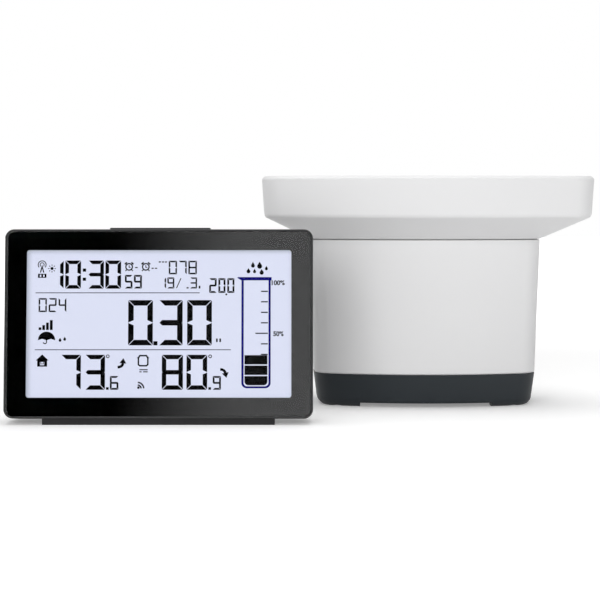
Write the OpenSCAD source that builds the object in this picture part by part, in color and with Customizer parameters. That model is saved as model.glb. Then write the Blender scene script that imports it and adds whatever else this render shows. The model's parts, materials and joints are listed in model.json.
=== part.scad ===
// Wireless rain gauge: a tipping-bucket collector and the indoor display that shows its reading.
// Millimetres. The origin is the middle of the collector's two mounting holes, on the ground.
// +X is to the right as seen from the front, +Y to the back and +Z up.

/* [Rim and funnel] */
// Height of the whole collector
collector_h = 105; // [101:1:116]
// Width of the collecting rim
rim_w = 150; // [136:1:170]
// Depth of the collecting rim, front to back
rim_d = 112; // [104:1:124]
// Height of the rim's upright band
rim_h = 18.2; // [14:0.1:20]
// How far the band leans in towards its lower edge
rim_draft = 1.1; // [0.4:0.1:1.6]
// Bevel along the top of the rim
rim_bevel = 1.3; // [0.8:0.1:1.6]
// Thickness of the rim below its bevel
rim_wall = 3; // [2.4:0.1:4]
// Radius of the rim's corners
rim_corner = 12; // [10:0.5:16]
// Radius of the long arc along the rim's front and back
rim_arc = 240; // [200:5:400]
// Height of the sloping underside between the body and the rim
flare_h = 10.2; // [8:0.1:12]
// Height of the catching cone, from the strainer's seat up to the sloping underside
cone_h = 13.5; // [11:0.5:15]
// Wall of the funnel
funnel_wall = 2.2; // [1.8:0.1:2.6]
// Radius of the strainer's seat
sump_r = 15; // [12:0.5:17]
// Depth of the strainer's seat
sump_h = 3.5; // [3:0.5:5]
// Radius of the funnel's outlet
outlet_r = 4; // [3:0.5:5]

/* [Body shell] */
// Width of the body under the rim
body_w = 106.5; // [104:0.5:112]
// Depth of the body under the rim
body_d = 68.5; // [67:0.5:74]
// How much narrower each side of the body is at its lower edge
body_draft = 2; // [1:0.1:2.4]
// Radius of the body's corners
body_corner = 11; // [10:0.5:14]
// Radius of the long arc along the body's front and back
body_arc = 120; // [110:5:200]
// Wall of the body
body_wall = 2.2; // [1.8:0.1:2.4]

/* [Base] */
// Height of the base
base_h = 15; // [14:0.5:17]
// How much narrower each side of the base is at the ground
base_draft = 1.9; // [1:0.1:2.2]
// Radius of the base's lower edge
base_edge = 3.4; // [2:0.1:3.8]
// Wall of the base
base_wall = 3.2; // [3:0.1:3.6]
// Floor of the base
floor_t = 2.2; // [2:0.1:2.8]
// Height of the feet under the floor
foot_h = 1.9; // [1.4:0.1:2.4]
// Width of the gap between the left and right feet
foot_gap_w = 60; // [56:1:62]
// Distance between the two mounting holes
mount_spacing = 80; // [79:0.5:81]
// Diameter of a mounting hole
mount_hole_d = 4.5; // [3.5:0.1:4.8]

/* [Bucket] */
// Length of each compartment from the axle to its pouring edge
bucket_reach = 30; // [26:0.5:31]
// Width of the bucket along its axle
bucket_w = 24; // [20:0.5:25]
// Height of the divider between the two compartments
divider_h = 15; // [12:0.5:16]
// Wall of the bucket
bucket_wall = 1.2; // [1:0.1:1.5]
// Slope of each compartment's floor
bucket_slope = 8; // [5:0.5:10]
// Tilt of the bucket on its stops, to either side
bucket_tip = 22; // [19:0.5:23]
// Radius of the axle
axle_r = 1; // [0.8:0.1:1.3]
// Height of the axle above the cradle's plate
pivot_rise = 8.8; // [8.5:0.1:10]

/* [Sensor electronics] */
// Diameter of a collector cell
cell_d = 14.5; // [13.5:0.1:14.8]
// Length of a collector cell
cell_len = 50.5; // [48:0.1:51]
// Half width of the sealed board case
board_case_half = 20.3; // [19:0.1:21]
// Depth of the sealed board case, front to back
board_case_d = 7.8; // [7.8:0.1:8]

/* [Display casing] */
// Width of the display
display_w = 130; // [124:1:150]
// Height of the display
display_h = 79.8; // [79:0.2:90]
// Depth of the display
display_d = 26; // [25.4:0.2:30]
// Depth of the front frame
frame_d = 16; // [15.6:0.2:17]
// Radius of the display's corners
display_corner = 3.9; // [3:0.1:6]
// Width of the frame's border round the lens
border_w = 0.85; // [0.6:0.05:1.4]
// Wall of the display's casing
case_wall = 1.8; // [1.6:0.1:2]
// Lean of the display on its stand
lean = 7; // [5:0.5:9]
// Distance from the collector's middle to the display's middle
display_left = 117; // [115:1:140]
// Distance from the collector's middle to the display's front edge
display_front = 98; // [96:1:120]

/* [Display screen] */
// From the display's side to the window in the mask
mask_side = 9.15; // [8.6:0.05:15]
// From the display's top and bottom to the window in the mask
mask_end = 8.75; // [8.4:0.05:12]
// Thickness of the clear lens
lens_t = 1.5; // [1:0.1:1.5]
// Thickness of the LCD
lcd_t = 1.8; // [1.4:0.1:1.8]

/* [Display controls] */
// Length of the press bar on the top edge
bar_w = 42.8; // [36:0.2:50]
// Depth of the press bar, front to back
bar_d = 7; // [6:0.1:7.4]
// Travel of the press bar
bar_travel = 0.6; // [0.4:0.1:0.7]
// Width of a rear key
key_w = 9; // [7:0.5:10]
// Height of a rear key
key_h = 6; // [5:0.5:7]
// Travel of a rear key
key_travel = 0.8; // [0.5:0.1:0.9]
// Spacing of the rear keys, up and down
key_pitch = 13; // [12:0.5:14]

/* [Display foot and stand] */
// Width of the foot strip under the frame
foot_strip_w = 97.7; // [90:0.5:110]
// Height of the foot strip at its front edge
foot_strip_h = 2.8; // [2.6:0.1:3]
// Width of the flip-out stand
stand_w = 56; // [48:1:60]
// Length of the flip-out stand from its hinge
stand_len = 40; // [34:1:40]
// Thickness of the stand's plate
stand_t = 2.6; // [2.2:0.1:2.8]
// Radius of the stand's hinge pins
pin_r = 1.2; // [0.8:0.1:1.3]

/* [Hidden] */
$fn = 64;

// Shared fits
overrun = 1;          // how far a cut runs past what it cuts
seat_gap = 0.3;       // between pieces that come apart
running_fit = 0.05;   // round a turning shaft
thread_fit = 0.05;    // round a screw in its boss
corner_steps = 6;     // chords in a corner of a bowed outline
arc_steps = 4;        // chords in half of a long arc
end_steps = 4;        // chords in half of a short side
end_bow = 0.4;        // how far a short side bows outwards

// Heights in the collector
body_top = collector_h - rim_h - flare_h;
parting = 0.4;        // shadow line between body and funnel
band_z = body_top + flare_h;
cone_lift = 2.9;      // cone above the foot of the flare, which is the funnel's thickness there
sump_top = body_top + cone_lift - cone_h;
sump_floor = sump_top - sump_h;
sump_floor_t = 2;
sump_under = sump_floor - sump_floor_t;
floor_z = foot_h + floor_t;
cone_rim_drop = 15.5;         // from the rim's top down to the cone
skirt_h = 5.5;                // skirt that centres the funnel in the body
skirt_t = 1.6;
skirt_root = 0.5;

// Battery box in the base, closed from below
cover_t = 2;
gasket_t = 0.8;
box_wall = 2;
box_end_wall = 1.7;
cell_play = 1;                // room round the cells
nub_r = 2.6;                  // raised contact of a collector cell
nub_len = 1.1;
contact_t = 0.5;
contact_size = 9;
slim_contact_size = 8.5;
spring_len = 2.1;
box_len = cell_len + 2 * (contact_t + spring_len) + cell_play / 2;
box_d = 2 * cell_d + 2 * cell_play;
box_floor = foot_h + cover_t + gasket_t;
box_top = box_floor + cell_d + cell_play + box_wall;
cell_z = box_floor + (cell_d + cell_play) / 2;
cell_y = box_d / 4;
cover_w = box_len + 2 * box_end_wall - 2 * seat_gap;
cover_d = 48;
cover_corner = 3;
flange_top = box_floor + box_wall;
flange_w = cover_w + 2 * box_end_wall;
flange_d = cover_d + 2 * box_wall;
cover_screw_x = 24;
cover_screw_y = 20.5;
small_screw_r = 1;
small_head_r = 1.9;
small_head_h = 1.2;
cover_screw_boss_r = 3;
cover_screw_boss_h = 9;
gasket_w = 1.2;
layer_t = 0.1;                // least room at the end of a screw
cover_screw_len = cover_t - small_head_h + gasket_t + cover_screw_boss_h - box_wall - layer_t;

// Screws that hold the shell to the base
shell_screw_x = 39.5;
shell_screw_y = 18.5;
shell_screw_r = 1.5;
shell_head_r = 2.8;
shell_head_h = 1.9;
shell_boss_r = 3.4;
shell_boss_h = 14;
shell_head_z = 6;
shell_screw_len = 20;
lip_t = 1.4;
lip_h = 2.5;
lip_root = 3;                 // depth of the lip's root in the wall of the base
lip_gap = 0.2;
boss_rib_w = 2;
boss_rib_len = 4.7;
shell_bevel = 0.6;
mount_boss_r = 5.2;
side_channel_d = 31;          // depth of the channels that lead drained water outwards
drain_x = 39;
drain_y = 9.5;
drain_r = 4;
screen_r = 4.8;
screen_t = 1.2;
screen_seat = 0.8;
screen_slot = 1.2;
screen_slots = 3;

// Cradle that carries the bucket
cradle_t = 2;
cradle_w = 52;
cradle_d = 34;
ear_t = 3;
ear_w = 10;
ear_gap = 1.8;                // between the bucket's wall and an ear
ear_y = bucket_w / 2 + ear_gap;
cradle_top = box_top + cradle_t;
pivot_z = cradle_top + pivot_rise;
cradle_screw_x = 12;
cradle_boss_r = 2.4;
cradle_boss_h = 2;
cradle_screw_len = 3;
hub_r = 2.8;
bucket_floor = hub_r + bucket_wall / 2;
bucket_lip = 3.2;
axle_len = 2 * (ear_y + ear_t) + seat_gap;
magnet_r = 2.5;
magnet_t = 1.6;
magnet_rise = 9;
pad_r = 2.4;
pad_t = 2;
stop_x = 20;
stop_gap = 0.2;
post_r = 3;
drip_gap = 1.2;

// The bucket with its bar level and the axle at the origin: heights of its floor and of its parts
function floor_at(x) = bucket_floor + abs(x) * tan(bucket_slope);
bucket_high = bucket_reach * sin(bucket_tip) + (floor_at(bucket_reach) + bucket_lip) * cos(bucket_tip);
spout_end = pivot_z + bucket_high + drip_gap;
spout_wall = 1.8;
// Underside of the lowered compartment over a place x, measured from the axle
function lowered_at(x) =
    let (under = bucket_floor - bucket_wall)
    under * cos(bucket_tip) - (x - under * sin(bucket_tip)) * tan(bucket_tip - bucket_slope);
pad_top = pivot_z + lowered_at(stop_x + pad_r) - stop_gap;

// Sealed case behind the bucket
case_gap = 0.6;
case_skin = 1.4;
case_lid_t = 1.5;
seal_t = 0.8;
board_t = 1.2;
board_case_y = max(cradle_d, box_d + 2 * box_wall) / 2 + case_gap;
board_case_z = flange_top;
board_case_h = sump_under - 2 * sump_floor_t - board_case_z;
case_front_y = board_case_y + case_lid_t + seal_t;
case_back_y = board_case_y + board_case_d;
lid_boss_r = 2.2;
lid_screw_x = board_case_half - lid_boss_r - seat_gap;
lid_screw_inset = 2.5;
lid_screw_len = 4;
lid_head_h = 0.3;
case_rest = 0.7;              // height of the bumps that hold the board off the case
board_back_y = case_back_y - case_skin - case_rest;
board_w = 30;
board_margin = 1.2;
reed_r = 1.1;
reed_len = 14;
reed_lead_r = 0.3;
reed_z = pivot_z + (bucket_floor + magnet_rise) * cos(bucket_tip);
lead_r = 0.8;
lead_x = 6;
lead_z = 14;
probe_r = 1.3;
probe_rise = 16;              // of the probe above the foot of the case
probe_len = 6;
aerial_r = 0.5;

// Strainer
strainer_t = 1.6;
strainer_rim = 1.6;
strainer_h = 5.5;
strainer_slot = 2;
strainer_pitch = 3.6;
strainer_inner_r = sump_r - seat_gap - strainer_rim;
strainer_steps = floor((strainer_inner_r - strainer_slot) / strainer_pitch);
slot_margin = 0.4;            // from a slot's corners to the strainer's wall
knob_r = 2.6;
knob_h = 9;

// Display, in its own upright frame: x to the right, y from its front to its back, z up
lens_gap = 0.1;               // between the lens and the frame round it
lens_set = 0.25;              // how far the lens lies behind the frame's front
mask_t = 0.15;
lens_back = lens_set + lens_t;
mask_back = lens_back + mask_t;
web_t = 1.7;                  // ledge of the frame behind the mask
web_gap = 1;                  // the ledge's opening beyond the mask's window
window_w = display_w - 2 * mask_side;
window_h = display_h - 2 * mask_end;
lcd_margin = 2.1;
lcd_w = window_w + 2 * lcd_margin;
lcd_h = window_h + 2 * lcd_margin;
lcd_front = mask_back + web_t;
lcd_back = lcd_front + lcd_t;
guide_t = 3.4;
strip_h = 2;
guide_h = lcd_h - strip_h - 2 * seat_gap;
pcb_front = lcd_back + guide_t;
pcb_t = 1.6;
pcb_back = pcb_front + pcb_t;
pcb_gap = 1.2;
pcb_w = display_w - 2 * case_wall - 2 * pcb_gap;
pcb_h = display_h - 2 * case_wall - 4 * pcb_gap;
mid_z = display_h / 2;
boss_side = 9;                // from the casing's side to a screw boss
boss_x = display_w / 2 - boss_side;
boss_r = 2.4;
boss_z = lcd_h / 2 + boss_r + seat_gap;
boss_hole_gap = 0.3;
case_screw_r = 1.1;
case_head_r = 2.2;
case_head_h = 1.5;
case_screw_len = 9;
stand_off_r = 1.7;
stand_off_side = 25;
stand_off_x = display_w / 2 - stand_off_side;
stand_off_inset = 1.4;

// Rear housing
back_inset = 4;               // how far the back face is smaller than the frame at the sides
back_low = 6;                 // and at its lower edge
shoulder = 3;                 // depth of the housing's straight part
slim_cell_d = 10.5;           // the display's own cells
slim_cell_len = 44.5;
slim_nub_r = 1.9;
slim_nub_len = 0.8;
well_play = 0.6;              // room round them, front to back
well_len = slim_cell_len + slim_nub_len + 2 * contact_t + 2 * spring_len;
well_pitch = slim_cell_d + cell_play;
well_h = 2 * well_pitch + cell_play;
well_below = 17.9;            // from the back face's top down to the middle of the cells
well_z = display_h - back_inset - well_below;
well_wall = 1.2;
door_t = 1.6;
door_gap = 0.2;               // round the battery door
door_lap = 1.6;               // how far the door covers the case round the well
door_rib_w = 24;
door_rib_h = 1;
door_rib_t = 0.4;
door_ribs = 3;
door_rib_pitch = 2.2;
door_low = well_z - well_h / 2 - door_lap;
door_w = well_len + 2 * door_lap;
well_back = display_d - door_t - door_gap;
well_front = well_back - slim_cell_d - well_play;
slot_w = 1.2;
slot_len = 12;
slot_count = 5;
slot_pitch = 2.6;
sound_side = 31;              // from the display's side to the middle of the sound slots
sound_x = display_w / 2 - sound_side;
sound_z = 24;
buzzer_r = 6;
buzzer_h = 4.8;
keyhole_side = 23;            // from the display's side to a keyhole
keyhole_x = display_w / 2 - keyhole_side;
keyhole_below = 17.9;         // from the display's top down to a keyhole
keyhole_z = display_h - keyhole_below;
keyhole_r = 3.6;
keyhole_slot_r = 1.8;
keyhole_drop = 6;

// Keys and bar
key_side = 13;                // from the display's side to a key's middle
key_x = display_w / 2 - key_side;
key_z = mid_z;
key_proud = 0.6;
key_gap = 0.3;
key_flange = 1;
key_flange_t = 1;
stem_r = 1.6;
switch_w = 6;
switch_h = 3.5;
plunger_r = 1.7;
plunger_h = 1.5;
switch_top = pcb_back + switch_h + plunger_h;
bar_y = 10;
bar_proud = 0.5;
bar_flange_t = 1;
bar_switch_h = 4;
bar_under = display_h - case_wall - key_gap - bar_flange_t;

// Foot and stand
strip_y = 0.8;                // the foot strip's front, behind the frame's front
strip_d = 9;
strip_corner = 1;
barrel_r = stand_t;
hinge_room = 1.2;             // from the back face to the hinge
hinge_y = display_d + hinge_room;
hinge_z = (barrel_r - foot_strip_h + hinge_y * sin(lean)) / cos(lean);
hinge_ear_t = 3;
hinge_ear_gap = 0.4;
pin_len = 9;
stand_pad_r = 4;
stand_pad_t = 0.6;
stand_pad_inset = 7;

// Points of the outline of a rectangle with rounded corners whose sides bow outwards
function bowed(w, d, r, arc) =
    let (cx = w / 2 - r - end_bow,
         cy = d / 2 - arc + sqrt(pow(arc - r, 2) - pow(cx, 2)),
         half = asin(cx / (arc - r)),
         end = [for (i = [0:end_steps - 1])
             [w / 2 - end_bow * pow(i / end_steps, 2), cy * i / end_steps]],
         corner = [for (i = [0:corner_steps])
             let (a = (90 - half) * i / corner_steps) [cx + r * cos(a), cy + r * sin(a)]],
         side = [for (i = [1:arc_steps])
             let (a = half * (1 - i / arc_steps)) [arc * sin(a), d / 2 - arc + arc * cos(a)]],
         quarter = concat(end, corner, side),
         n = len(quarter))
    concat(quarter,
           [for (i = [n - 2:-1:0]) [-quarter[i].x, quarter[i].y]],
           [for (i = [1:n - 1]) [-quarter[i].x, -quarter[i].y]],
           [for (i = [n - 2:-1:1]) [quarter[i].x, -quarter[i].y]]);

// The same outline moved inwards by an amount
function body_plan(inset, z) =
    let (draft = body_draft * (body_top - z) / (body_top - base_h), t = inset + draft)
    bowed(body_w - 2 * t, body_d - 2 * t, body_corner - inset, body_arc - inset);
function rim_plan(inset) =
    bowed(rim_w - 2 * inset, rim_d - 2 * inset, rim_corner - inset, rim_arc - inset);
function base_plan(inset, z) =
    let (t = inset + body_draft + base_draft * (1 - z / base_h))
    bowed(body_w - 2 * t, body_d - 2 * t, body_corner - inset, body_arc - inset);
function round_plan(outline, r) = [for (p = outline) r * p / norm(p)];
// Points of a plain rectangle with round corners, its middle at a height
function box_plan(w, h, r, middle) =
    [for (q = [0:3]) for (i = [0:corner_steps])
        let (a = 90 * (q + i / corner_steps), sx = q % 3 == 0 ? 1 : -1, sy = q < 2 ? 1 : -1)
        [sx * (w / 2 - r) + r * cos(a), middle + sy * (h / 2 - r) + r * sin(a)]];

// Solid through a stack of outlines that have the same number of points, lowest first
module stacked(outlines, heights) {
    n = len(outlines[0]);
    levels = len(outlines);
    points = [for (k = [0:levels - 1]) for (p = outlines[k]) [p.x, p.y, heights[k]]];
    walls = [for (k = [0:levels - 2]) for (i = [0:n - 1])
        let (j = (i + 1) % n, a = k * n + i, b = a + n, c = (k + 1) * n + j, d = k * n + j)
        each [[a, b, c], [a, c, d]]];
    bottom = [for (i = [0:n - 1]) i];
    top = [for (i = [n - 1:-1:0]) (levels - 1) * n + i];
    polyhedron(points, concat(walls, [bottom, top]));
}

// The four corners of a rectangle with half sizes x and y
module corners(x, y) {
    for (sx = [-1, 1])
        for (sy = [-1, 1])
            translate([sx * x, sy * y, 0]) children();
}

// Flat rectangle with round corners
module rounded(w, h, r) {
    square([w - 2 * r, h], center = true);
    square([w, h - 2 * r], center = true);
    for (sx = [-1, 1])
        for (sy = [-1, 1])
            translate([sx * (w / 2 - r), sy * (h / 2 - r)]) circle(r);
}

// Box centred in x and y that stands at z
module block(w, d, h) {
    translate([-w / 2, -d / 2, 0]) cube([w, d, h]);
}

// Shaft along Y, centred
module across(r, length) {
    rotate([90, 0, 0]) cylinder(r = r, h = length, center = true);
}

// Shaft along X, centred
module along(r, length) {
    rotate([0, 90, 0]) cylinder(r = r, h = length, center = true);
}

// Flat shape in the x and z of a display that stands upright, from depth y backwards
module upright(y, depth) {
    translate([0, y + depth, 0]) rotate([90, 0, 0]) linear_extrude(depth) children();
}

// Pan-head screw whose head's underside is at the origin and whose shank points up
module screw(r, length, head_r, head_h) {
    cylinder(r = r, h = length);
    translate([0, 0, -head_h]) difference() {
        cylinder(r = head_r, h = head_h);
        translate([0, 0, -head_h / 2]) {
            block(head_r, head_r / 4, head_h);
            block(head_r / 4, head_r, head_h);
        }
    }
}

// Base
module battery_box_solid() {
    translate([0, 0, foot_h]) block(flange_w, flange_d, flange_top - foot_h);
    translate([0, 0, foot_h]) block(box_len + 2 * box_end_wall, box_d + 2 * box_wall, box_top - foot_h);
    corners(cover_screw_x, cover_screw_y)
        translate([0, 0, box_floor]) cylinder(r = cover_screw_boss_r, h = cover_screw_boss_h);
}

module battery_box_cuts() {
    translate([0, 0, foot_h - overrun])
        linear_extrude(cover_t + overrun)
            rounded(cover_w + 2 * seat_gap, cover_d + 2 * seat_gap, cover_corner + seat_gap);
    translate([0, 0, foot_h])
        block(box_len, box_d, box_top - box_wall - foot_h);
    translate([0, 0, foot_h + cover_t - layer_t])
        linear_extrude(gasket_t + layer_t)
            difference() {
                rounded(cover_w - 2 * gasket_w, cover_d - 2 * gasket_w, cover_corner);
                corners(cover_screw_x, cover_screw_y) circle(cover_screw_boss_r);
            }
    corners(cover_screw_x, cover_screw_y)
        translate([0, 0, foot_h])
            cylinder(r = small_screw_r + thread_fit,
                     h = box_floor + cover_screw_boss_h - box_wall - foot_h);
}

module foot_cuts() {
    difference() {
        union() {
            translate([0, 0, -overrun]) block(foot_gap_w, rim_d, foot_h + overrun);
            translate([0, 0, -overrun]) block(rim_w, side_channel_d, foot_h + overrun);
        }
        for (s = [-1, 1])
            translate([s * mount_spacing / 2, 0, -2 * overrun])
                cylinder(r = mount_boss_r, h = foot_h + 3 * overrun);
    }
}

module base_tray() {
    color([0.20, 0.22, 0.24]) {
        edge = [for (a = [0, 30, 60, 90]) [base_edge * (1 - sin(a)), base_edge * (1 - cos(a))]];
        difference() {
            union() {
                difference() {
                    stacked([for (e = edge) base_plan(e.x, e.y), base_plan(0, base_h)],
                            [for (e = edge) e.y, base_h]);
                    stacked([base_plan(base_wall, floor_z), base_plan(base_wall, base_h + overrun)],
                            [floor_z, base_h + overrun]);
                }
                translate([0, 0, base_h - lip_root]) linear_extrude(lip_root + lip_h) difference() {
                    polygon(body_plan(body_wall + lip_gap, base_h));
                    polygon(body_plan(body_wall + lip_gap + lip_t, base_h));
                }
                battery_box_solid();
                corners(shell_screw_x, shell_screw_y)
                    translate([0, 0, foot_h]) cylinder(r = shell_boss_r, h = base_h + lip_h - foot_h);
                cradle_bosses();
            }
            foot_cuts();
            base_holes();
        }
    }
}

module cradle_bosses() {
    for (s = [-1, 1])
        translate([s * cradle_screw_x, 0, box_top - box_wall - cradle_boss_h])
            cylinder(r = cradle_boss_r, h = box_wall + cradle_boss_h);
}

module base_holes() {
    difference() {
        battery_box_cuts();
        cradle_bosses();
    }
    for (s = [-1, 1]) {
        translate([s * cradle_screw_x, 0, box_top - cradle_screw_len])
            cylinder(r = small_screw_r + thread_fit, h = cradle_screw_len + overrun);
        translate([s * mount_spacing / 2, 0, -overrun])
            cylinder(r = mount_hole_d / 2, h = floor_z + 2 * overrun);
        translate([s * lead_x, box_d / 2 + box_wall, lead_z]) across(lead_r + running_fit, 4 * box_wall);
    }
    corners(shell_screw_x, shell_screw_y) {
        translate([0, 0, -overrun])
            cylinder(r = shell_screw_r + running_fit, h = base_h + lip_h + 2 * overrun);
        translate([0, 0, -overrun]) cylinder(r = shell_head_r + seat_gap, h = shell_head_z + overrun);
    }
    corners(drain_x, drain_y) {
        cylinder(r = drain_r, h = floor_z + overrun);
        translate([0, 0, floor_z - screen_seat]) cylinder(r = screen_r + running_fit, h = base_wall);
    }
}

module battery_gasket() {
    color([0.15, 0.15, 0.16])
        translate([0, 0, foot_h + cover_t]) linear_extrude(gasket_t) difference() {
            rounded(cover_w - 2 * gasket_w, cover_d - 2 * gasket_w, cover_corner);
            square([box_len, box_d], center = true);
            corners(cover_screw_x, cover_screw_y) circle(cover_screw_boss_r + running_fit);
        }
}

module battery_cover() {
    color([0.22, 0.24, 0.26])
        difference() {
            translate([0, 0, foot_h]) linear_extrude(cover_t) rounded(cover_w, cover_d, cover_corner);
            corners(cover_screw_x, cover_screw_y) {
                translate([0, 0, foot_h - overrun])
                    cylinder(r = small_screw_r + running_fit, h = cover_t + 2 * overrun);
                translate([0, 0, foot_h - overrun])
                    cylinder(r = small_head_r + seat_gap, h = small_head_h + overrun);
            }
        }
}

module cover_screws() {
    color([0.75, 0.75, 0.77])
        corners(cover_screw_x, cover_screw_y)
            translate([0, 0, foot_h + small_head_h])
                screw(small_screw_r, cover_screw_len, small_head_r, small_head_h);
}

module shell_screws() {
    color([0.75, 0.75, 0.77])
        corners(shell_screw_x, shell_screw_y)
            translate([0, 0, shell_head_z])
                screw(shell_screw_r, shell_screw_len, shell_head_r, shell_head_h);
}

module drain_screens() {
    color([0.3, 0.32, 0.34])
        corners(drain_x, drain_y)
            translate([0, 0, floor_z - screen_seat])
                difference() {
                    cylinder(r = screen_r, h = screen_t);
                    for (k = [0:screen_slots - 1])
                        translate([(k - (screen_slots - 1) / 2) * 2 * screen_slot, 0, -overrun])
                            block(screen_slot, drain_r, screen_t + 2 * overrun);
                }
}

// Collector cells
module cell(d, length, nub_r, nub) {
    rotate([0, 90, 0]) translate([0, 0, -nub / 2]) {
        cylinder(r = d / 2, h = length - nub, center = true);
        translate([0, 0, (length - nub) / 2]) cylinder(r = nub_r, h = nub);
    }
}

module sensor_cells() {
    color([0.20, 0.45, 0.30])
        for (s = [-1, 1])
            translate([0, s * cell_y, cell_z]) mirror([s > 0 ? 1 : 0, 0, 0])
                cell(cell_d, cell_len, nub_r, nub_len);
}

module end_contacts(length, pitch, size) {
    for (sx = [-1, 1])
        for (sy = [-1, 1]) {
            translate([sx * (length - contact_t) / 2, sy * pitch / 2, 0])
                cube([contact_t, size, size], center = true);
            translate([sx * (length / 2 - contact_t - spring_len / 2), sy * pitch / 2, 0])
                difference() {
                    along(size / 3, spring_len);
                    along(size / 3 - contact_t, spring_len + 2 * overrun);
                }
        }
}

module sensor_contacts() {
    color([0.80, 0.80, 0.82])
        translate([0, 0, cell_z]) end_contacts(box_len, 2 * cell_y, contact_size);
}

module battery_leads() {
    color([0.70, 0.15, 0.12])
        for (s = [-1, 1])
            translate([s * lead_x, (box_d / 2 + board_back_y - board_t) / 2, lead_z])
                across(lead_r, board_back_y - board_t - box_d / 2);
}

// Bucket, its cradle and its stops
module bucket_cradle() {
    color([0.85, 0.86, 0.87])
        difference() {
            union() {
                translate([0, 0, box_top]) block(cradle_w, cradle_d, cradle_t);
                for (s = [-1, 1]) {
                    translate([0, s * (ear_y + ear_t / 2), 0]) {
                        translate([0, 0, box_top]) block(ear_w, ear_t, pivot_z - box_top);
                        translate([0, 0, pivot_z]) across(ear_w / 2, ear_t);
                    }
                    translate([s * stop_x, 0, box_top]) cylinder(r = post_r, h = pad_top - pad_t - box_top);
                }
            }
            translate([0, 0, pivot_z]) across(axle_r + running_fit, 2 * cradle_d);
            for (s = [-1, 1])
                translate([s * cradle_screw_x, 0, box_top - overrun])
                    cylinder(r = small_screw_r + running_fit, h = cradle_t + 2 * overrun);
        }
}

module cradle_screws() {
    color([0.75, 0.75, 0.77])
        for (s = [-1, 1])
            translate([s * cradle_screw_x, 0, cradle_top]) rotate([180, 0, 0])
                screw(small_screw_r, cradle_screw_len + cradle_t - layer_t, small_head_r, small_head_h);
}

module stop_pads() {
    color([0.12, 0.12, 0.12])
        for (s = [-1, 1])
            translate([s * stop_x, 0, pad_top - pad_t]) cylinder(r = pad_r, h = pad_t);
}

// Turns what is drawn with a level bucket and the axle at the origin into its place at rest
module on_axle() {
    translate([0, 0, pivot_z]) rotate([0, bucket_tip, 0]) children();
}

// Flat shape in x and z, centred in y
module profile(width) {
    rotate([90, 0, 0]) linear_extrude(width, center = true) children();
}

module bucket_outline() {
    end = floor_at(bucket_reach);
    polygon([
        [-bucket_reach, end - bucket_wall], [0, bucket_floor - bucket_wall],
        [bucket_reach, end - bucket_wall], [bucket_reach, end + bucket_lip],
        [2 * bucket_wall, bucket_floor + divider_h],
        [-2 * bucket_wall, bucket_floor + divider_h], [-bucket_reach, end + bucket_lip]
    ]);
}

module tipping_bucket() {
    past = bucket_reach + overrun;
    above = bucket_floor + divider_h + overrun;
    color([0.93, 0.93, 0.94])
        on_axle() difference() {
            union() {
                profile(bucket_w) bucket_outline();
                across(hub_r, bucket_w);
            }
            profile(bucket_w - 2 * bucket_wall)
                for (s = [-1, 1])
                    polygon([[s * bucket_wall / 2, bucket_floor], [s * past, floor_at(past)],
                             [s * past, above], [s * bucket_wall / 2, above]]);
            across(axle_r, 2 * bucket_w);
        }
}

module bucket_axle() {
    color([0.80, 0.80, 0.82]) on_axle() across(axle_r, axle_len);
}

module bucket_magnet() {
    color([0.35, 0.35, 0.38])
        on_axle() translate([0, (bucket_w + magnet_t) / 2, bucket_floor + magnet_rise])
            across(magnet_r, magnet_t);
}

// Sealed board case
module case_corners() {
    for (sx = [-1, 1])
        for (z = [board_case_z + lid_screw_inset, board_case_z + board_case_h - lid_screw_inset])
            translate([sx * lid_screw_x, 0, z]) children();
}

// Box of the case's outline between two depths
module case_slab(inset, y, depth) {
    translate([-board_case_half + inset, y, board_case_z + inset])
        cube([2 * (board_case_half - inset), depth, board_case_h - 2 * inset]);
}

module board_case() {
    depth = case_back_y - case_front_y;
    color([0.82, 0.84, 0.85])
        difference() {
            union() {
                difference() {
                    case_slab(0, case_front_y, depth);
                    case_slab(case_skin, case_front_y - overrun, depth - case_skin + overrun);
                }
                case_corners() translate([0, case_front_y + depth / 2, 0]) across(lid_boss_r, depth);
                for (s = [-1, 1])
                    for (z = [board_case_z + board_case_h / 4, board_case_z + 3 * board_case_h / 4])
                        translate([s * board_w / 3, case_back_y - (case_rest + case_skin) / 2, z])
                            across(lid_boss_r, case_rest + case_skin);
            }
            case_corners() translate([0, case_front_y, 0])
                across(small_screw_r + thread_fit, 2 * lid_screw_len);
            translate([board_case_half, case_front_y + depth / 3, board_case_z + probe_rise])
                along(probe_r + running_fit, 4 * case_skin);
        }
}

module board_seal() {
    color([0.15, 0.15, 0.16])
        difference() {
            case_slab(0, case_front_y - seal_t, seal_t);
            case_slab(case_skin, case_front_y - seal_t - overrun, seal_t + 2 * overrun);
        }
}

module board_lid() {
    color([0.78, 0.80, 0.81])
        difference() {
            case_slab(0, board_case_y, case_lid_t);
            case_corners() translate([0, board_case_y, 0])
                across(small_screw_r + running_fit, 4 * case_lid_t);
            for (s = [-1, 1])
                translate([s * lead_x, board_case_y, lead_z]) across(lead_r + running_fit, 4 * case_lid_t);
        }
}

module lid_screws() {
    color([0.75, 0.75, 0.77])
        case_corners() translate([0, board_case_y, 0]) rotate([-90, 0, 0])
            screw(small_screw_r, case_lid_t + seal_t + lid_screw_len - layer_t, small_head_r,
                  lid_head_h);
}

module switch_board() {
    color([0.10, 0.35, 0.22])
        translate([-board_w / 2, board_back_y - board_t, board_case_z + case_skin + board_margin])
            cube([board_w, board_t, board_case_h - 2 * case_skin - 2 * board_margin]);
}

module reed_switch() {
    y = board_back_y - board_t - reed_r;
    color([0.75, 0.85, 0.80]) translate([0, y, reed_z]) {
        along(reed_r, reed_len);
        along(reed_lead_r, reed_len + 4 * reed_r);
    }
}

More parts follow.
